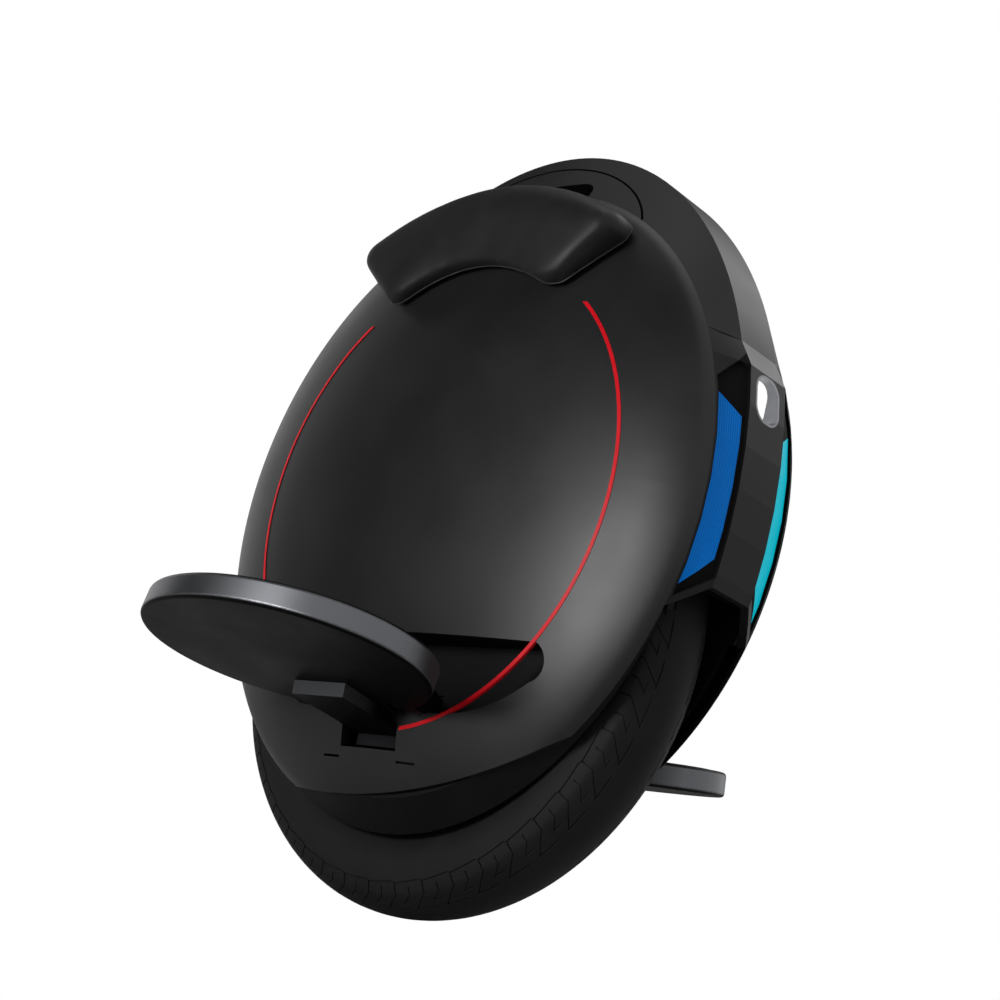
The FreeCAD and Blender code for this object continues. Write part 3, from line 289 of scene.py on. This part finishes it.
def makePedalCoat(side):
    material, tree = newMaterial("pedalCoat" + side.title())
    spot = addNode(tree, "ShaderNodeTexCoord")
    place = {"Vector": spot.outputs["Object"]}
    grain = addNode(tree, "ShaderNodeTexNoise",
                    {"Scale": 1 / (pedalCoat["grain"] * mm), "Detail": 2.0}, place)
    mottle = addNode(tree, "ShaderNodeTexNoise",
                     {"Scale": 1 / (pedalCoat["mottle"] * mm), "Detail": 3.0}, place)
    tilt = math.radians(pedalCoat["tilt"])
    upward = (0, -sides[side] * math.sin(tilt), math.cos(tilt))
    facing = addNode(tree, "ShaderNodeVectorMath", {"operation": "DOT_PRODUCT", 1: upward},
                     {0: spot.outputs["Normal"]})
    flat = addNode(tree, "ShaderNodeMath", {"operation": "ABSOLUTE"}, {0: facing.outputs["Value"]})
    edgeOn, faceOn = pedalCoat["edgeOn"]
    edge = addNode(tree, "ShaderNodeMapRange",
                   {"From Min": edgeOn, "From Max": faceOn, "To Min": 1.0, "To Max": 0.0},
                   {"Value": flat.outputs["Value"]})
    axes = addNode(tree, "ShaderNodeSeparateXYZ", {}, place)
    reach = addNode(tree, "ShaderNodeMath", {"operation": "ABSOLUTE"}, {0: axes.outputs["Y"]})
    coated, bare = pedalCoat["bare"]
    outer = addNode(tree, "ShaderNodeMapRange", {"From Min": coated * mm, "From Max": bare * mm},
                    {"Value": reach.outputs[0]})
    rim = addNode(tree, "ShaderNodeMath", {"operation": "MULTIPLY"},
                  {0: edge.outputs["Result"], 1: outer.outputs["Result"]})
    colour = addNode(tree, "ShaderNodeMix",
                     {"data_type": "RGBA", 6: linear(pedalCoat["face"]), 7: linear(pedalCoat["rim"])},
                     {0: rim.outputs[0]})
    smooth, rough = pedalCoat["roughness"]
    gloss = addNode(tree, "ShaderNodeMapRange", {**noiseSpan, "To Min": smooth, "To Max": rough},
                    {"Value": mottle.outputs["Fac"]})
    bump = addNode(tree, "ShaderNodeBump",
                   {"Strength": pedalCoat["bump"], "Distance": pedalCoat["bumpHeight"] * mm},
                   {"Height": grain.outputs["Fac"]})
    shader = addNode(tree, "ShaderNodeBsdfPrincipled", {"Specular IOR Level": pedalCoat["specular"]},
                     {"Base Color": colour.outputs[2], "Metallic": rim.outputs[0],
                      "Roughness": gloss.outputs["Result"], "Normal": bump.outputs["Normal"]})
    addNode(tree, "ShaderNodeOutputMaterial", {}, {"Surface": shader.outputs["BSDF"]})
    return material


# Grip rubber of the pedal tops, moulded in small studs: dull, dark and dusty
gripRubber = {"dark": "#141415", "light": "#202021", "stud": 5, "studEdge": (0.25, 0.4), "dust": 20,
              "roughness": (0.7, 0.85), "bump": 0.8, "bumpHeight": 0.8}


def makeGripRubber():
    material, tree = newMaterial("studdedGripRubber")
    place = {"Vector": addNode(tree, "ShaderNodeTexCoord").outputs["Object"]}
    studs = addNode(tree, "ShaderNodeTexVoronoi", {"Scale": 1 / (gripRubber["stud"] * mm), "Randomness": 0.0},
                    place)
    dust = addNode(tree, "ShaderNodeTexNoise", {"Scale": 1 / (gripRubber["dust"] * mm), "Detail": 4.0}, place)
    patches = {"Value": dust.outputs["Fac"]}
    share = addNode(tree, "ShaderNodeMapRange", noiseSpan, patches)
    colour = addNode(tree, "ShaderNodeMix",
                     {"data_type": "RGBA", 6: linear(gripRubber["dark"]), 7: linear(gripRubber["light"])},
                     {0: share.outputs["Result"]})
    smooth, rough = gripRubber["roughness"]
    gloss = addNode(tree, "ShaderNodeMapRange", {**noiseSpan, "To Min": smooth, "To Max": rough}, patches)
    top, foot = gripRubber["studEdge"]
    raised = addNode(tree, "ShaderNodeMapRange",
                     {"From Min": top, "From Max": foot, "To Min": 1.0, "To Max": 0.0},
                     {"Value": studs.outputs["Distance"]})
    bump = addNode(tree, "ShaderNodeBump",
                   {"Strength": gripRubber["bump"], "Distance": gripRubber["bumpHeight"] * mm},
                   {"Height": raised.outputs["Result"]})
    shader = addNode(tree, "ShaderNodeBsdfPrincipled", {},
                     {"Base Color": colour.outputs[2], "Roughness": gloss.outputs["Result"],
                      "Normal": bump.outputs["Normal"]})
    addNode(tree, "ShaderNodeOutputMaterial", {}, {"Surface": shader.outputs["BSDF"]})
    return material


made["polyurethaneSkin"] = makePadSkin()
made["bumperAbs"] = makeBumperAbs()
for name, tint in guideTints.items():
    made[name] = makeLightGuide(name, *tint)
made["studdedGripRubber"] = makeGripRubber()
for side in sides:
    made["pedalCoat" + side.title()] = makePedalCoat(side)

wearing = {
    "satinBlackAbs": ["side_shell_left", "side_shell_right"],
    "greyAbs": ["spine_cover", "handle_insert", "button_housing", "power_button"],
    "blackNylon": ["inner_shell_left", "inner_shell_right", "wheel_arch", "pedal_recess_left",
                   "pedal_recess_right", "button_switch", "charge_socket"],
    "bumperAbs": ["front_bumper", "rear_bumper"],
    "redEnamel": ["accent_strip_left", "accent_strip_right"],
    "mouldedRubber": ["tyre", "inner_tube", "motor_cable", "charge_cap"],
    "turnedAluminium": ["wheel_rim", "motor_cover_left", "motor_cover_right", "stator_hub", "heat_sink"],
    "castAluminium": ["pedal_bracket_left", "pedal_bracket_right"],
    "groundSteel": ["axle", "hub_bearing_left", "hub_bearing_right", "pedal_hinge_pin_left",
                    "pedal_hinge_pin_right"],
    "zincPlate": ["axle_nuts", "bracket_screws", "motor_cover_screws", "cap_pin"],
    "electricalSteel": ["stator_core", "rotor_magnets", "pedal_magnet_left", "pedal_magnet_right"],
    "enamelledCopper": ["stator_windings"],
    "drawnBrass": ["valve_stem"],
    "boardLacquer": ["controller_board", "led_boards"],
    "shrinkFilm": ["battery_pack_left", "battery_pack_right"],
    "redAcrylic": ["tail_light_lens"],
    "platedChrome": ["headlight_reflector"],
    "opalLens": ["headlight_lens"],
    "polyurethaneSkin": ["leg_pad_left", "leg_pad_right"],
    "blueGuide": ["light_strip_front_right", "light_strip_rear_right"],
    "blueGuidePaintedLit": ["light_strip_front_left", "light_strip_rear_left"],
    "studdedGripRubber": ["pedal_tread_left", "pedal_tread_right"],
    "pedalCoatLeft": ["pedal_plate_left"],
    "pedalCoatRight": ["pedal_plate_right"],
}
for finish, names in wearing.items():
    for name in names:
        nodes[name].data.materials.clear()
        nodes[name].data.materials.append(made[finish])
print("materials made,", len(made))


def evaluatedMesh(piece):
    depsgraph = bpy.context.evaluated_depsgraph_get()
    return bpy.data.meshes.new_from_object(piece.evaluated_get(depsgraph))


def smoothShaded(mesh):
    mesh.polygons.foreach_set("use_smooth", [True] * len(mesh.polygons))
    return mesh


def tubeMesh(name, points, radius, closed):
    curve = bpy.data.curves.new(name, "CURVE")
    curve.dimensions = "3D"
    curve.bevel_depth = radius
    curve.bevel_resolution = 2
    curve.use_fill_caps = not closed
    spline = curve.splines.new("POLY")
    spline.points.add(len(points) - 1)
    for target, point in zip(spline.points, points):
        target.co = (*point, 1.0)
    spline.use_cyclic_u = closed
    holder = bpy.data.objects.new(name, curve)
    scene.collection.objects.link(holder)
    mesh = evaluatedMesh(holder)
    bpy.data.objects.remove(holder)
    bpy.data.curves.remove(curve)
    return smoothShaded(mesh)


def newPiece(name, mesh, finish, body):
    piece = bpy.data.objects.new(name, mesh)
    scene.collection.objects.link(piece)
    piece.data.materials.clear()
    piece.data.materials.append(made[finish])
    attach(piece, body)
    return piece


# Tyre, the same section as its solid, with the tread cut into it
tyre = {
    "radius": 178.0, "axleHeight": 178.0, "shoulderRadius": 169.0, "shoulderHalf": 24.5, "sideRadius": 147.0,
    "sideHalf": 28.0, "flange": 131.2, "bead": 127.0, "beadOuter": 21.0, "beadInner": 13.0, "crown": 171.0,
    "lining": (0.8, 0.6, 0.4, 0.2), "blocks": 46, "longDepth": 1.2, "shortDepth": 1.02, "markDepth": 0.84,
    "edgeDepth": 0.7, "dashEnd": 0.70, "hook": (0.50, 0.80), "slant": 1.2, "lean": 0.87, "sharpAngle": 35,
    # rows from the crown out to one shoulder, as half width and what is cut there
    "treadRows": [(0, ""), (4, ""), (8, ""), (12, ""), (14.0, ""), (14.2, "dash"), (14.7, "dash"),
                  (14.9, "long"), (17, "long"), (19.2, "long"), (19.4, "hook"), (19.9, "hook"),
                  (20.1, "short"), (22, "short"), (24.5, "short")],
    # rows on down the side wall, as radius and what is cut there
    "sideRows": [(166.8, "short"), (164.4, "short"), (164.0, "long"), (161.8, "lip"), (161.6, "edge"),
                 (161.1, "edge"), (160.9, "brink"), (157, ""), (153, ""), (149, ""), (145, ""), (141, ""),
                 (137, ""), (134, ""), (131.2, "")],
    # columns round one block, as share of the block and the groove that runs along it
    "columns": [(0.0, ""), (0.008, "long"), (0.030, "long"), (0.038, ""), (0.17, ""), (0.28, ""), (0.39, ""),
                (0.492, ""), (0.50, "short"), (0.520, "short"), (0.528, ""), (0.66, ""), (0.72, ""),
                (0.82, ""), (0.92, "")],
}


def threePointCircle(a, b, c):
    ax, ay, bx, by, cx, cy = *a, *b, *c
    aa, bb, cc = ax * ax + ay * ay, bx * bx + by * by, cx * cx + cy * cy
    twist = 2 * (ax * (by - cy) + bx * (cy - ay) + cx * (ay - by))
    ux = (aa * (by - cy) + bb * (cy - ay) + cc * (ay - by)) / twist
    uy = (aa * (cx - bx) + bb * (ax - cx) + cc * (bx - ax)) / twist
    return ux, uy, math.hypot(ax - ux, ay - uy)


def crownRadius(y):
    rise = tyre["radius"] - tyre["shoulderRadius"]
    bend = (tyre["shoulderHalf"] ** 2 + rise ** 2) / (2 * rise)
    return tyre["radius"] - bend + math.sqrt(bend ** 2 - y * y)


def sideReach(radius):  # half width of the side wall at a radius
    ux, uy, bend = threePointCircle((tyre["shoulderRadius"], tyre["shoulderHalf"]),
                                    (tyre["sideRadius"], tyre["sideHalf"]),
                                    (tyre["flange"], tyre["beadOuter"]))
    return uy + math.sqrt(bend ** 2 - (radius - ux) ** 2)


def tyreSection():
    half = [(crownRadius(y), y, cut) for y, cut in tyre["treadRows"]]
    half += [(radius, sideReach(radius), cut) for radius, cut in tyre["sideRows"]]
    half.append((tyre["bead"], tyre["beadOuter"], ""))
    half.append((tyre["bead"], tyre["beadInner"], ""))
    ux, uy, bend = threePointCircle((tyre["bead"], tyre["beadInner"]), (tyre["crown"], 0.0),
                                    (tyre["bead"], -tyre["beadInner"]))
    for share in tyre["lining"]:
        angle = share * math.acos((tyre["bead"] - ux) / bend)
        half.append((ux + bend * math.cos(angle), uy + bend * math.sin(angle), ""))
    other = [(radius, -y, cut) for radius, y, cut in half[1:]]
    return half + [(tyre["crown"], 0.0, "")] + other[::-1]


def cutDepth(cut, groove, share):
    depth = tyre["edgeDepth"] if cut == "edge" else 0.0
    if groove == "long" and cut not in ("", "brink"):
        depth = tyre["longDepth"]
    if groove == "short" and cut in ("short", "hook"):
        depth = tyre["shortDepth"]
    hookStart, hookEnd = tyre["hook"]
    if (cut == "dash" and share < tyre["dashEnd"]) or (cut == "hook" and hookStart <= share < hookEnd):
        depth = max(depth, tyre["markDepth"])
    return depth


def makeTyre():
    rows = tyreSection()
    rings = []
    slack = 0.01
    mesh = bmesh.new()
    for block in range(tyre["blocks"]):
        for share, groove in tyre["columns"]:
            ring = []
            for radius, y, cut in rows:
                if cut in ("lip", "edge", "brink"):
                    # the outer edge of each block runs a little inwards along the block
                    radius += tyre["slant"] * (0.5 - share)
                    y = math.copysign(sideReach(radius), y)
                reach = abs(y)
                depth = cutDepth(cut, groove, share)
                # the grooves lean back towards the shoulders, to the same side on both halves
                onCrown = radius > tyre["shoulderRadius"] - slack and reach < tyre["shoulderHalf"] + slack
                lean = tyre["lean"] * (reach / tyre["shoulderHalf"]) ** 2 if onCrown else tyre["lean"]
                turn = 2 * math.pi * (block + share + lean) / tyre["blocks"]
                shown = radius - depth if onCrown else radius
                across = y if onCrown else y - math.copysign(depth, y)
                ring.append(mesh.verts.new((shown * math.sin(turn) * mm, across * mm,
                                            (tyre["axleHeight"] - shown * math.cos(turn)) * mm)))
            rings.append(ring)
    for index, ring in enumerate(rings):
        after = rings[(index + 1) % len(rings)]
        for row in range(len(ring)):
            nextRow = (row + 1) % len(ring)
            mesh.faces.new((ring[row], ring[nextRow], after[nextRow], after[row]))
    bmesh.ops.recalc_face_normals(mesh, faces=mesh.faces)
    data = bpy.data.meshes.new("treadedTyre")
    mesh.to_mesh(data)
    mesh.free()
    smoothShaded(data).set_sharp_from_angle(angle=math.radians(tyre["sharpAngle"]))
    piece = newPiece("treadedTyre", data, "mouldedRubber", "wheel")
    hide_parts("tyre")


makeTyre()
print("tyre cut")

# Leg pads: the solid's shape, blown up like foam under a tight skin
pad = {"merge": 0.01, "voxel": 4.0, "softenTurns": 3, "shrink": 1.6, "hold": 2.5, "pressure": 4.0,
       "frames": 20, "swell": 3.2, "evenTurns": 4, "finer": 2, "seamGap": 4.5, "seamEasing": 12, "tuck": 2.2,
       "tuckOver": 1.2, "welt": 0.4, "clear": 0.2}
dome = {"rimLength": 197.6, "rimHeight": 209.6, "rimY": 39.5, "depth": 36.0, "power": 0.65, "centreZ": 258.5}


def domeReach(x, z):  # how far out the shell's surface stands, in metres
    along = x / (dome["rimLength"] * mm)
    up = (z - dome["centreZ"] * mm) / (dome["rimHeight"] * mm)
    return (dome["rimY"] + dome["depth"] * max(1 - along ** 2 - up ** 2, 0.0) ** dome["power"]) * mm


def seamPath(mesh):
    # the pad unrolled over the shell, so that its seam is one level cut
    unrolled = bmesh.new()
    unrolled.from_mesh(mesh)
    for vertex in unrolled.verts:
        vertex.co.y = abs(vertex.co.y) - domeReach(vertex.co.x, vertex.co.z)
    cut = bmesh.ops.bisect_plane(unrolled, geom=unrolled.verts[:] + unrolled.edges[:] + unrolled.faces[:],
                                 plane_co=(0, pad["seamGap"] * mm, 0), plane_no=(0, 1, 0))
    beside = {}
    for edge in cut["geom_cut"]:
        if isinstance(edge, bmesh.types.BMEdge):
            beside.setdefault(edge.verts[0], []).append(edge.verts[1])
            beside.setdefault(edge.verts[1], []).append(edge.verts[0])
    longest = []
    seen = set()
    for first in beside:
        ring = [first]
        ahead = [] if first in seen else beside[first][:1]
        while ahead:
            seen.add(ring[-1])
            ring.append(ahead[0])
            ahead = [vertex for vertex in beside[ring[-1]] if vertex not in seen]
        if len(ring) > len(longest):
            longest = ring
    points = [Vector((v.co.x, v.co.y + domeReach(v.co.x, v.co.z), v.co.z)) for v in longest]
    unrolled.free()
    for turn in range(pad["seamEasing"]):
        points = [(points[i - 1] + points[i] * 2 + points[(i + 1) % len(points)]) / 4
                  for i in range(len(points))]
    return points


def blowUp(piece, held):
    start = [vertex.co.copy() for vertex in piece.data.vertices]
    group = piece.vertex_groups.new(name="seated")
    group.add(held, 1.0, "REPLACE")
    cloth = piece.modifiers.new("foam", "CLOTH")
    cloth.settings.vertex_group_mass = "seated"
    cloth.settings.use_pressure = True
    cloth.settings.uniform_pressure_force = pad["pressure"]
    cloth.settings.effector_weights.gravity = 0.0
    for step in range(1, pad["frames"] + 1):
        scene.frame_set(step)
    blown = evaluatedMesh(piece)
    piece.modifiers.clear()
    for vertex, old, new in zip(piece.data.vertices, start, blown.vertices):
        move = new.co - old
        if move.length > pad["swell"] * mm:
            move *= pad["swell"] * mm / move.length
        vertex.co = old + move
    bpy.data.meshes.remove(blown)
    scene.frame_set(1)
    piece.vertex_groups.clear()


def makePad(side):
    shape = bmesh.new()
    shape.from_mesh(nodes["leg_pad_" + side].data)
    bmesh.ops.remove_doubles(shape, verts=shape.verts, dist=pad["merge"] * mm)
    shape.normal_update()
    data = bpy.data.meshes.new("padForm")
    shape.to_mesh(data)
    shape.free()
    piece = bpy.data.objects.new("legPad" + side.title(), data)
    scene.collection.objects.link(piece)
    remesh = piece.modifiers.new("voxels", "REMESH")
    remesh.mode = "VOXEL"
    remesh.voxel_size = pad["voxel"] * mm
    remesh.use_smooth_shade = True
    soften = piece.modifiers.new("soften", "SMOOTH")
    soften.iterations = pad["softenTurns"]
    piece.data = evaluatedMesh(piece)
    piece.modifiers.clear()
    # points near the shell stay, the rest starts slightly smaller and is blown up again
    held = []
    outward = [vertex.normal.copy() for vertex in piece.data.vertices]
    for vertex, normal in zip(piece.data.vertices, outward):
        if abs(vertex.co.y) - domeReach(vertex.co.x, vertex.co.z) < pad["hold"] * mm:
            held.append(vertex.index)
        else:
            vertex.co -= normal * pad["shrink"] * mm
    blowUp(piece, held)
    even = piece.modifiers.new("even", "SMOOTH")
    even.iterations = pad["evenTurns"]
    finer = piece.modifiers.new("finer", "SUBSURF")
    finer.levels = pad["finer"]
    finer.render_levels = pad["finer"]
    piece.data = evaluatedMesh(piece)
    piece.modifiers.clear()
    sign = sides[side]
    seam = [(p.x, sign * p.y, p.z) for p in seamPath(piece.data)]
    # below its seam the base is tucked in under the cushion
    outward = [vertex.normal.copy() for vertex in piece.data.vertices]
    for vertex, normal in zip(piece.data.vertices, outward):
        gap = abs(vertex.co.y) - domeReach(vertex.co.x, vertex.co.z)
        share = min(max((pad["seamGap"] * mm - gap) / (pad["tuckOver"] * mm), 0.0), 1.0)
        tuck = share * pad["tuck"] * mm
        vertex.co.x -= normal.x * tuck
        vertex.co.z -= normal.z * tuck
        least = domeReach(vertex.co.x, vertex.co.z) + pad["clear"] * mm
        if abs(vertex.co.y) < least:
            vertex.co.y = sign * least
    # the welt's grey is a painted highlight, a thin light line along the seam
    welt = tubeMesh("padWelt", seam, pad["welt"] * mm, True)
    newPiece("padWelt" + side.title(), welt, "weltPaintedHighlight", "chassis")
    smoothShaded(piece.data)
    piece.data.materials.clear()
    piece.data.materials.append(made["polyurethaneSkin"])
    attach(piece, "chassis")
    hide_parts("leg_pad_" + side)


for side in sides:
    makePad(side)
print("leg pads blown")

# Joint round the handle insert, an arch of near-black tube on each flank of the spine
handleJoint = {"halfLength": 112.0, "halfHeight": 94.0, "centreZ": 400.0, "ends": (24.0, 156.0), "steps": 120,
               "radius": 0.8, "sunk": 0.35, "crestLength": 200.0, "crestHeight": 247.5, "crestY": 18.0,
               "furthest": 1.2, "halvings": 40}


def flankPoint(x, z):
    # share of the way down the flank, from the crest's oval to the shell's, found by halving
    low, high = 0.0, handleJoint["furthest"]
    for turn in range(handleJoint["halvings"]):
        share = (low + high) / 2
        length = handleJoint["crestLength"] + share * (dome["rimLength"] - handleJoint["crestLength"])
        height = handleJoint["crestHeight"] + share * (dome["rimHeight"] - handleJoint["crestHeight"])
        if (x / length) ** 2 + ((z - dome["centreZ"]) / height) ** 2 > 1:
            high = share
        else:
            low = share
    return Vector((x, handleJoint["crestY"] + share * (dome["rimY"] - handleJoint["crestY"]), z))


def makeHandleJoint(side):
    points = []
    first, last = handleJoint["ends"]
    for step in range(handleJoint["steps"] + 1):
        angle = math.radians(first + (last - first) * step / handleJoint["steps"])
        x = handleJoint["halfLength"] * math.cos(angle)
        z = handleJoint["centreZ"] + handleJoint["halfHeight"] * math.sin(angle)
        here = flankPoint(x, z)
        outward = (flankPoint(x + 1, z) - here).cross(flankPoint(x, z - 1) - here).normalized()
        if outward.y < 0:
            outward.negate()
        here -= outward * handleJoint["sunk"]
        points.append((here.x * mm, sides[side] * here.y * mm, here.z * mm))
    jointTube = tubeMesh("handleJoint", points, handleJoint["radius"] * mm, False)
    newPiece("handleJoint" + side.title(), jointTube, "nearBlackJoint", "chassis")


for side in sides:
    makeHandleJoint(side)
print("handle joint laid")

# Camera where the photograph was taken from, low and rolled
camera = {"eye": (0.8574, -0.8372, -0.0633), "right": (0.722, 0.652, 0.233), "back": (0.692, -0.676, -0.253),
          "lens": 69.7, "sensor": 36.0, "shift": (0.0075, 0.0304), "clip": (0.05, 50.0)}


def makeCamera():
    data = bpy.data.cameras.new("photoCamera")
    data.lens = camera["lens"]
    data.sensor_width = camera["sensor"]
    data.shift_x, data.shift_y = camera["shift"]
    data.clip_start, data.clip_end = camera["clip"]
    holder = bpy.data.objects.new("photoCamera", data)
    scene.collection.objects.link(holder)
    back = Vector(camera["back"]).normalized()
    right = Vector(camera["right"])
    right = (right - back * right.dot(back)).normalized()
    turn = Matrix((right, back.cross(right), back)).transposed().to_4x4()
    holder.matrix_world = Matrix.Translation(Vector(camera["eye"])) @ turn
    scene.camera = holder


# Studio: pale floor that can be seen through from below, white surroundings, soft lamps, lengths in metres
studio = {
    "floor": "#e9e9e7",
    "floorReach": 9.0,
    "floorDrop": 0.0004,
    "floorLift": 0.55,
    "white": "#ffffff",
    "surround": 0.45,
    "card": "#0a0a0a",
    "cardSteps": 12,
    # black cards beside the set keep the white walls out of the dark shells: bearings, distance, bottom, top
    "cards": [(-70, -166, 2.4, 0.0, 8.0), (104, 160, 2.4, 0.0, 9.0), (160, 194, 2.4, 2.0, 9.0)],
    # name, place, aim, width, watts
    "lamps": [
        ("sideKey", (-0.12, -1.77, 0.32), (0.1, 0.0, 0.22), 0.65, 28.0),
        ("topSoft", (-0.3, -0.2, 1.9), (0.0, 0.0, 0.3), 1.4, 3.0),
        ("frontSoft", (0.25, 1.5, 1.85), (0.1, 0.0, 0.35), 1.3, 11.0),
    ],
}


def makeFloor():
    floorMesh = bpy.data.meshes.new("studioFloor")
    reach = studio["floorReach"]
    corners = [(x * reach, y * reach, -studio["floorDrop"]) for x, y in ((-1, -1), (1, -1), (1, 1), (-1, 1))]
    floorMesh.from_pydata(corners, [], [(0, 1, 2, 3)])
    floor = bpy.data.objects.new("studioFloor", floorMesh)
    scene.collection.objects.link(floor)
    material, tree = newMaterial("paleFloor")
    matte = addNode(tree, "ShaderNodeBsdfDiffuse", {"Color": linear(studio["floor"])})
    # the camera sees a paler floor than the lamps alone would give, with the shadow still on it
    pale = addNode(tree, "ShaderNodeEmission", {"Color": linear(studio["white"]), "Strength": 1.0})
    path = addNode(tree, "ShaderNodeLightPath")
    lift = addNode(tree, "ShaderNodeMath", {"operation": "MULTIPLY", 1: studio["floorLift"]},
                   {0: path.outputs["Is Camera Ray"]})
    shown = addNode(tree, "ShaderNodeMixShader", {},
                    {0: lift.outputs[0], 1: matte.outputs[0], 2: pale.outputs[0]})
    clear = addNode(tree, "ShaderNodeBsdfTransparent")
    face = addNode(tree, "ShaderNodeNewGeometry")
    mix = addNode(tree, "ShaderNodeMixShader", {},
                  {0: face.outputs["Backfacing"], 1: shown.outputs[0], 2: clear.outputs[0]})
    addNode(tree, "ShaderNodeOutputMaterial", {}, {"Surface": mix.outputs[0]})
    floorMesh.materials.append(material)


def makeSurround():
    scene.world = bpy.data.worlds.new("whiteStudio")
    scene.world.use_nodes = True
    tree = scene.world.node_tree
    tree.nodes.clear()
    path = addNode(tree, "ShaderNodeLightPath")
    # seen directly, in gloss or through glass it is white, and as light it is softer
    gloss = addNode(tree, "ShaderNodeMath", {"operation": "MAXIMUM"},
                    {0: path.outputs["Is Camera Ray"], 1: path.outputs["Is Glossy Ray"]})
    seen = addNode(tree, "ShaderNodeMath", {"operation": "MAXIMUM"},
                   {0: gloss.outputs[0], 1: path.outputs["Is Transmission Ray"]})
    soft = addNode(tree, "ShaderNodeBackground",
                   {"Color": linear(studio["white"]), "Strength": studio["surround"]})
    white = addNode(tree, "ShaderNodeBackground", {"Color": linear(studio["white"]), "Strength": 1.0})
    mix = addNode(tree, "ShaderNodeMixShader", {},
                  {0: seen.outputs[0], 1: soft.outputs[0], 2: white.outputs[0]})
    addNode(tree, "ShaderNodeOutputWorld", {}, {"Surface": mix.outputs[0]})


def makeCards():
    material, tree = newMaterial("blackCard")
    shader = addNode(tree, "ShaderNodeBsdfPrincipled",
                     {"Base Color": linear(studio["card"]), "Specular IOR Level": 0.0})
    addNode(tree, "ShaderNodeOutputMaterial", {}, {"Surface": shader.outputs["BSDF"]})
    steps = studio["cardSteps"]
    strips = [(i, i + 1, i + steps + 2, i + steps + 1) for i in range(steps)]
    for index, (start, end, distance, bottom, top) in enumerate(studio["cards"]):
        bearings = [math.radians(start + (end - start) * step / steps) for step in range(steps + 1)]
        corners = [(distance * math.cos(bearing), distance * math.sin(bearing), height)
                   for height in (bottom, top) for bearing in bearings]
        cardMesh = bpy.data.meshes.new("blackCard%d" % index)
        cardMesh.from_pydata(corners, [], strips)
        cardMesh.materials.append(material)
        card = bpy.data.objects.new("blackCard%d" % index, cardMesh)
        scene.collection.objects.link(card)
        card.visible_camera = False


def makeLamps():
    for name, place, aim, width, watts in studio["lamps"]:
        data = bpy.data.lights.new(name, "AREA")
        data.shape = "DISK"
        data.size = width
        data.energy = watts
        lamp = bpy.data.objects.new(name, data)
        scene.collection.objects.link(lamp)
        lamp.location = place
        lamp.rotation_mode = "QUATERNION"
        lamp.rotation_quaternion = (Vector(aim) - Vector(place)).to_track_quat("-Z", "Y")
        lamp.visible_camera = False


makeCamera()
makeFloor()
makeSurround()
makeCards()
makeLamps()
scene.view_settings.view_transform = "Standard"
print("studio set")
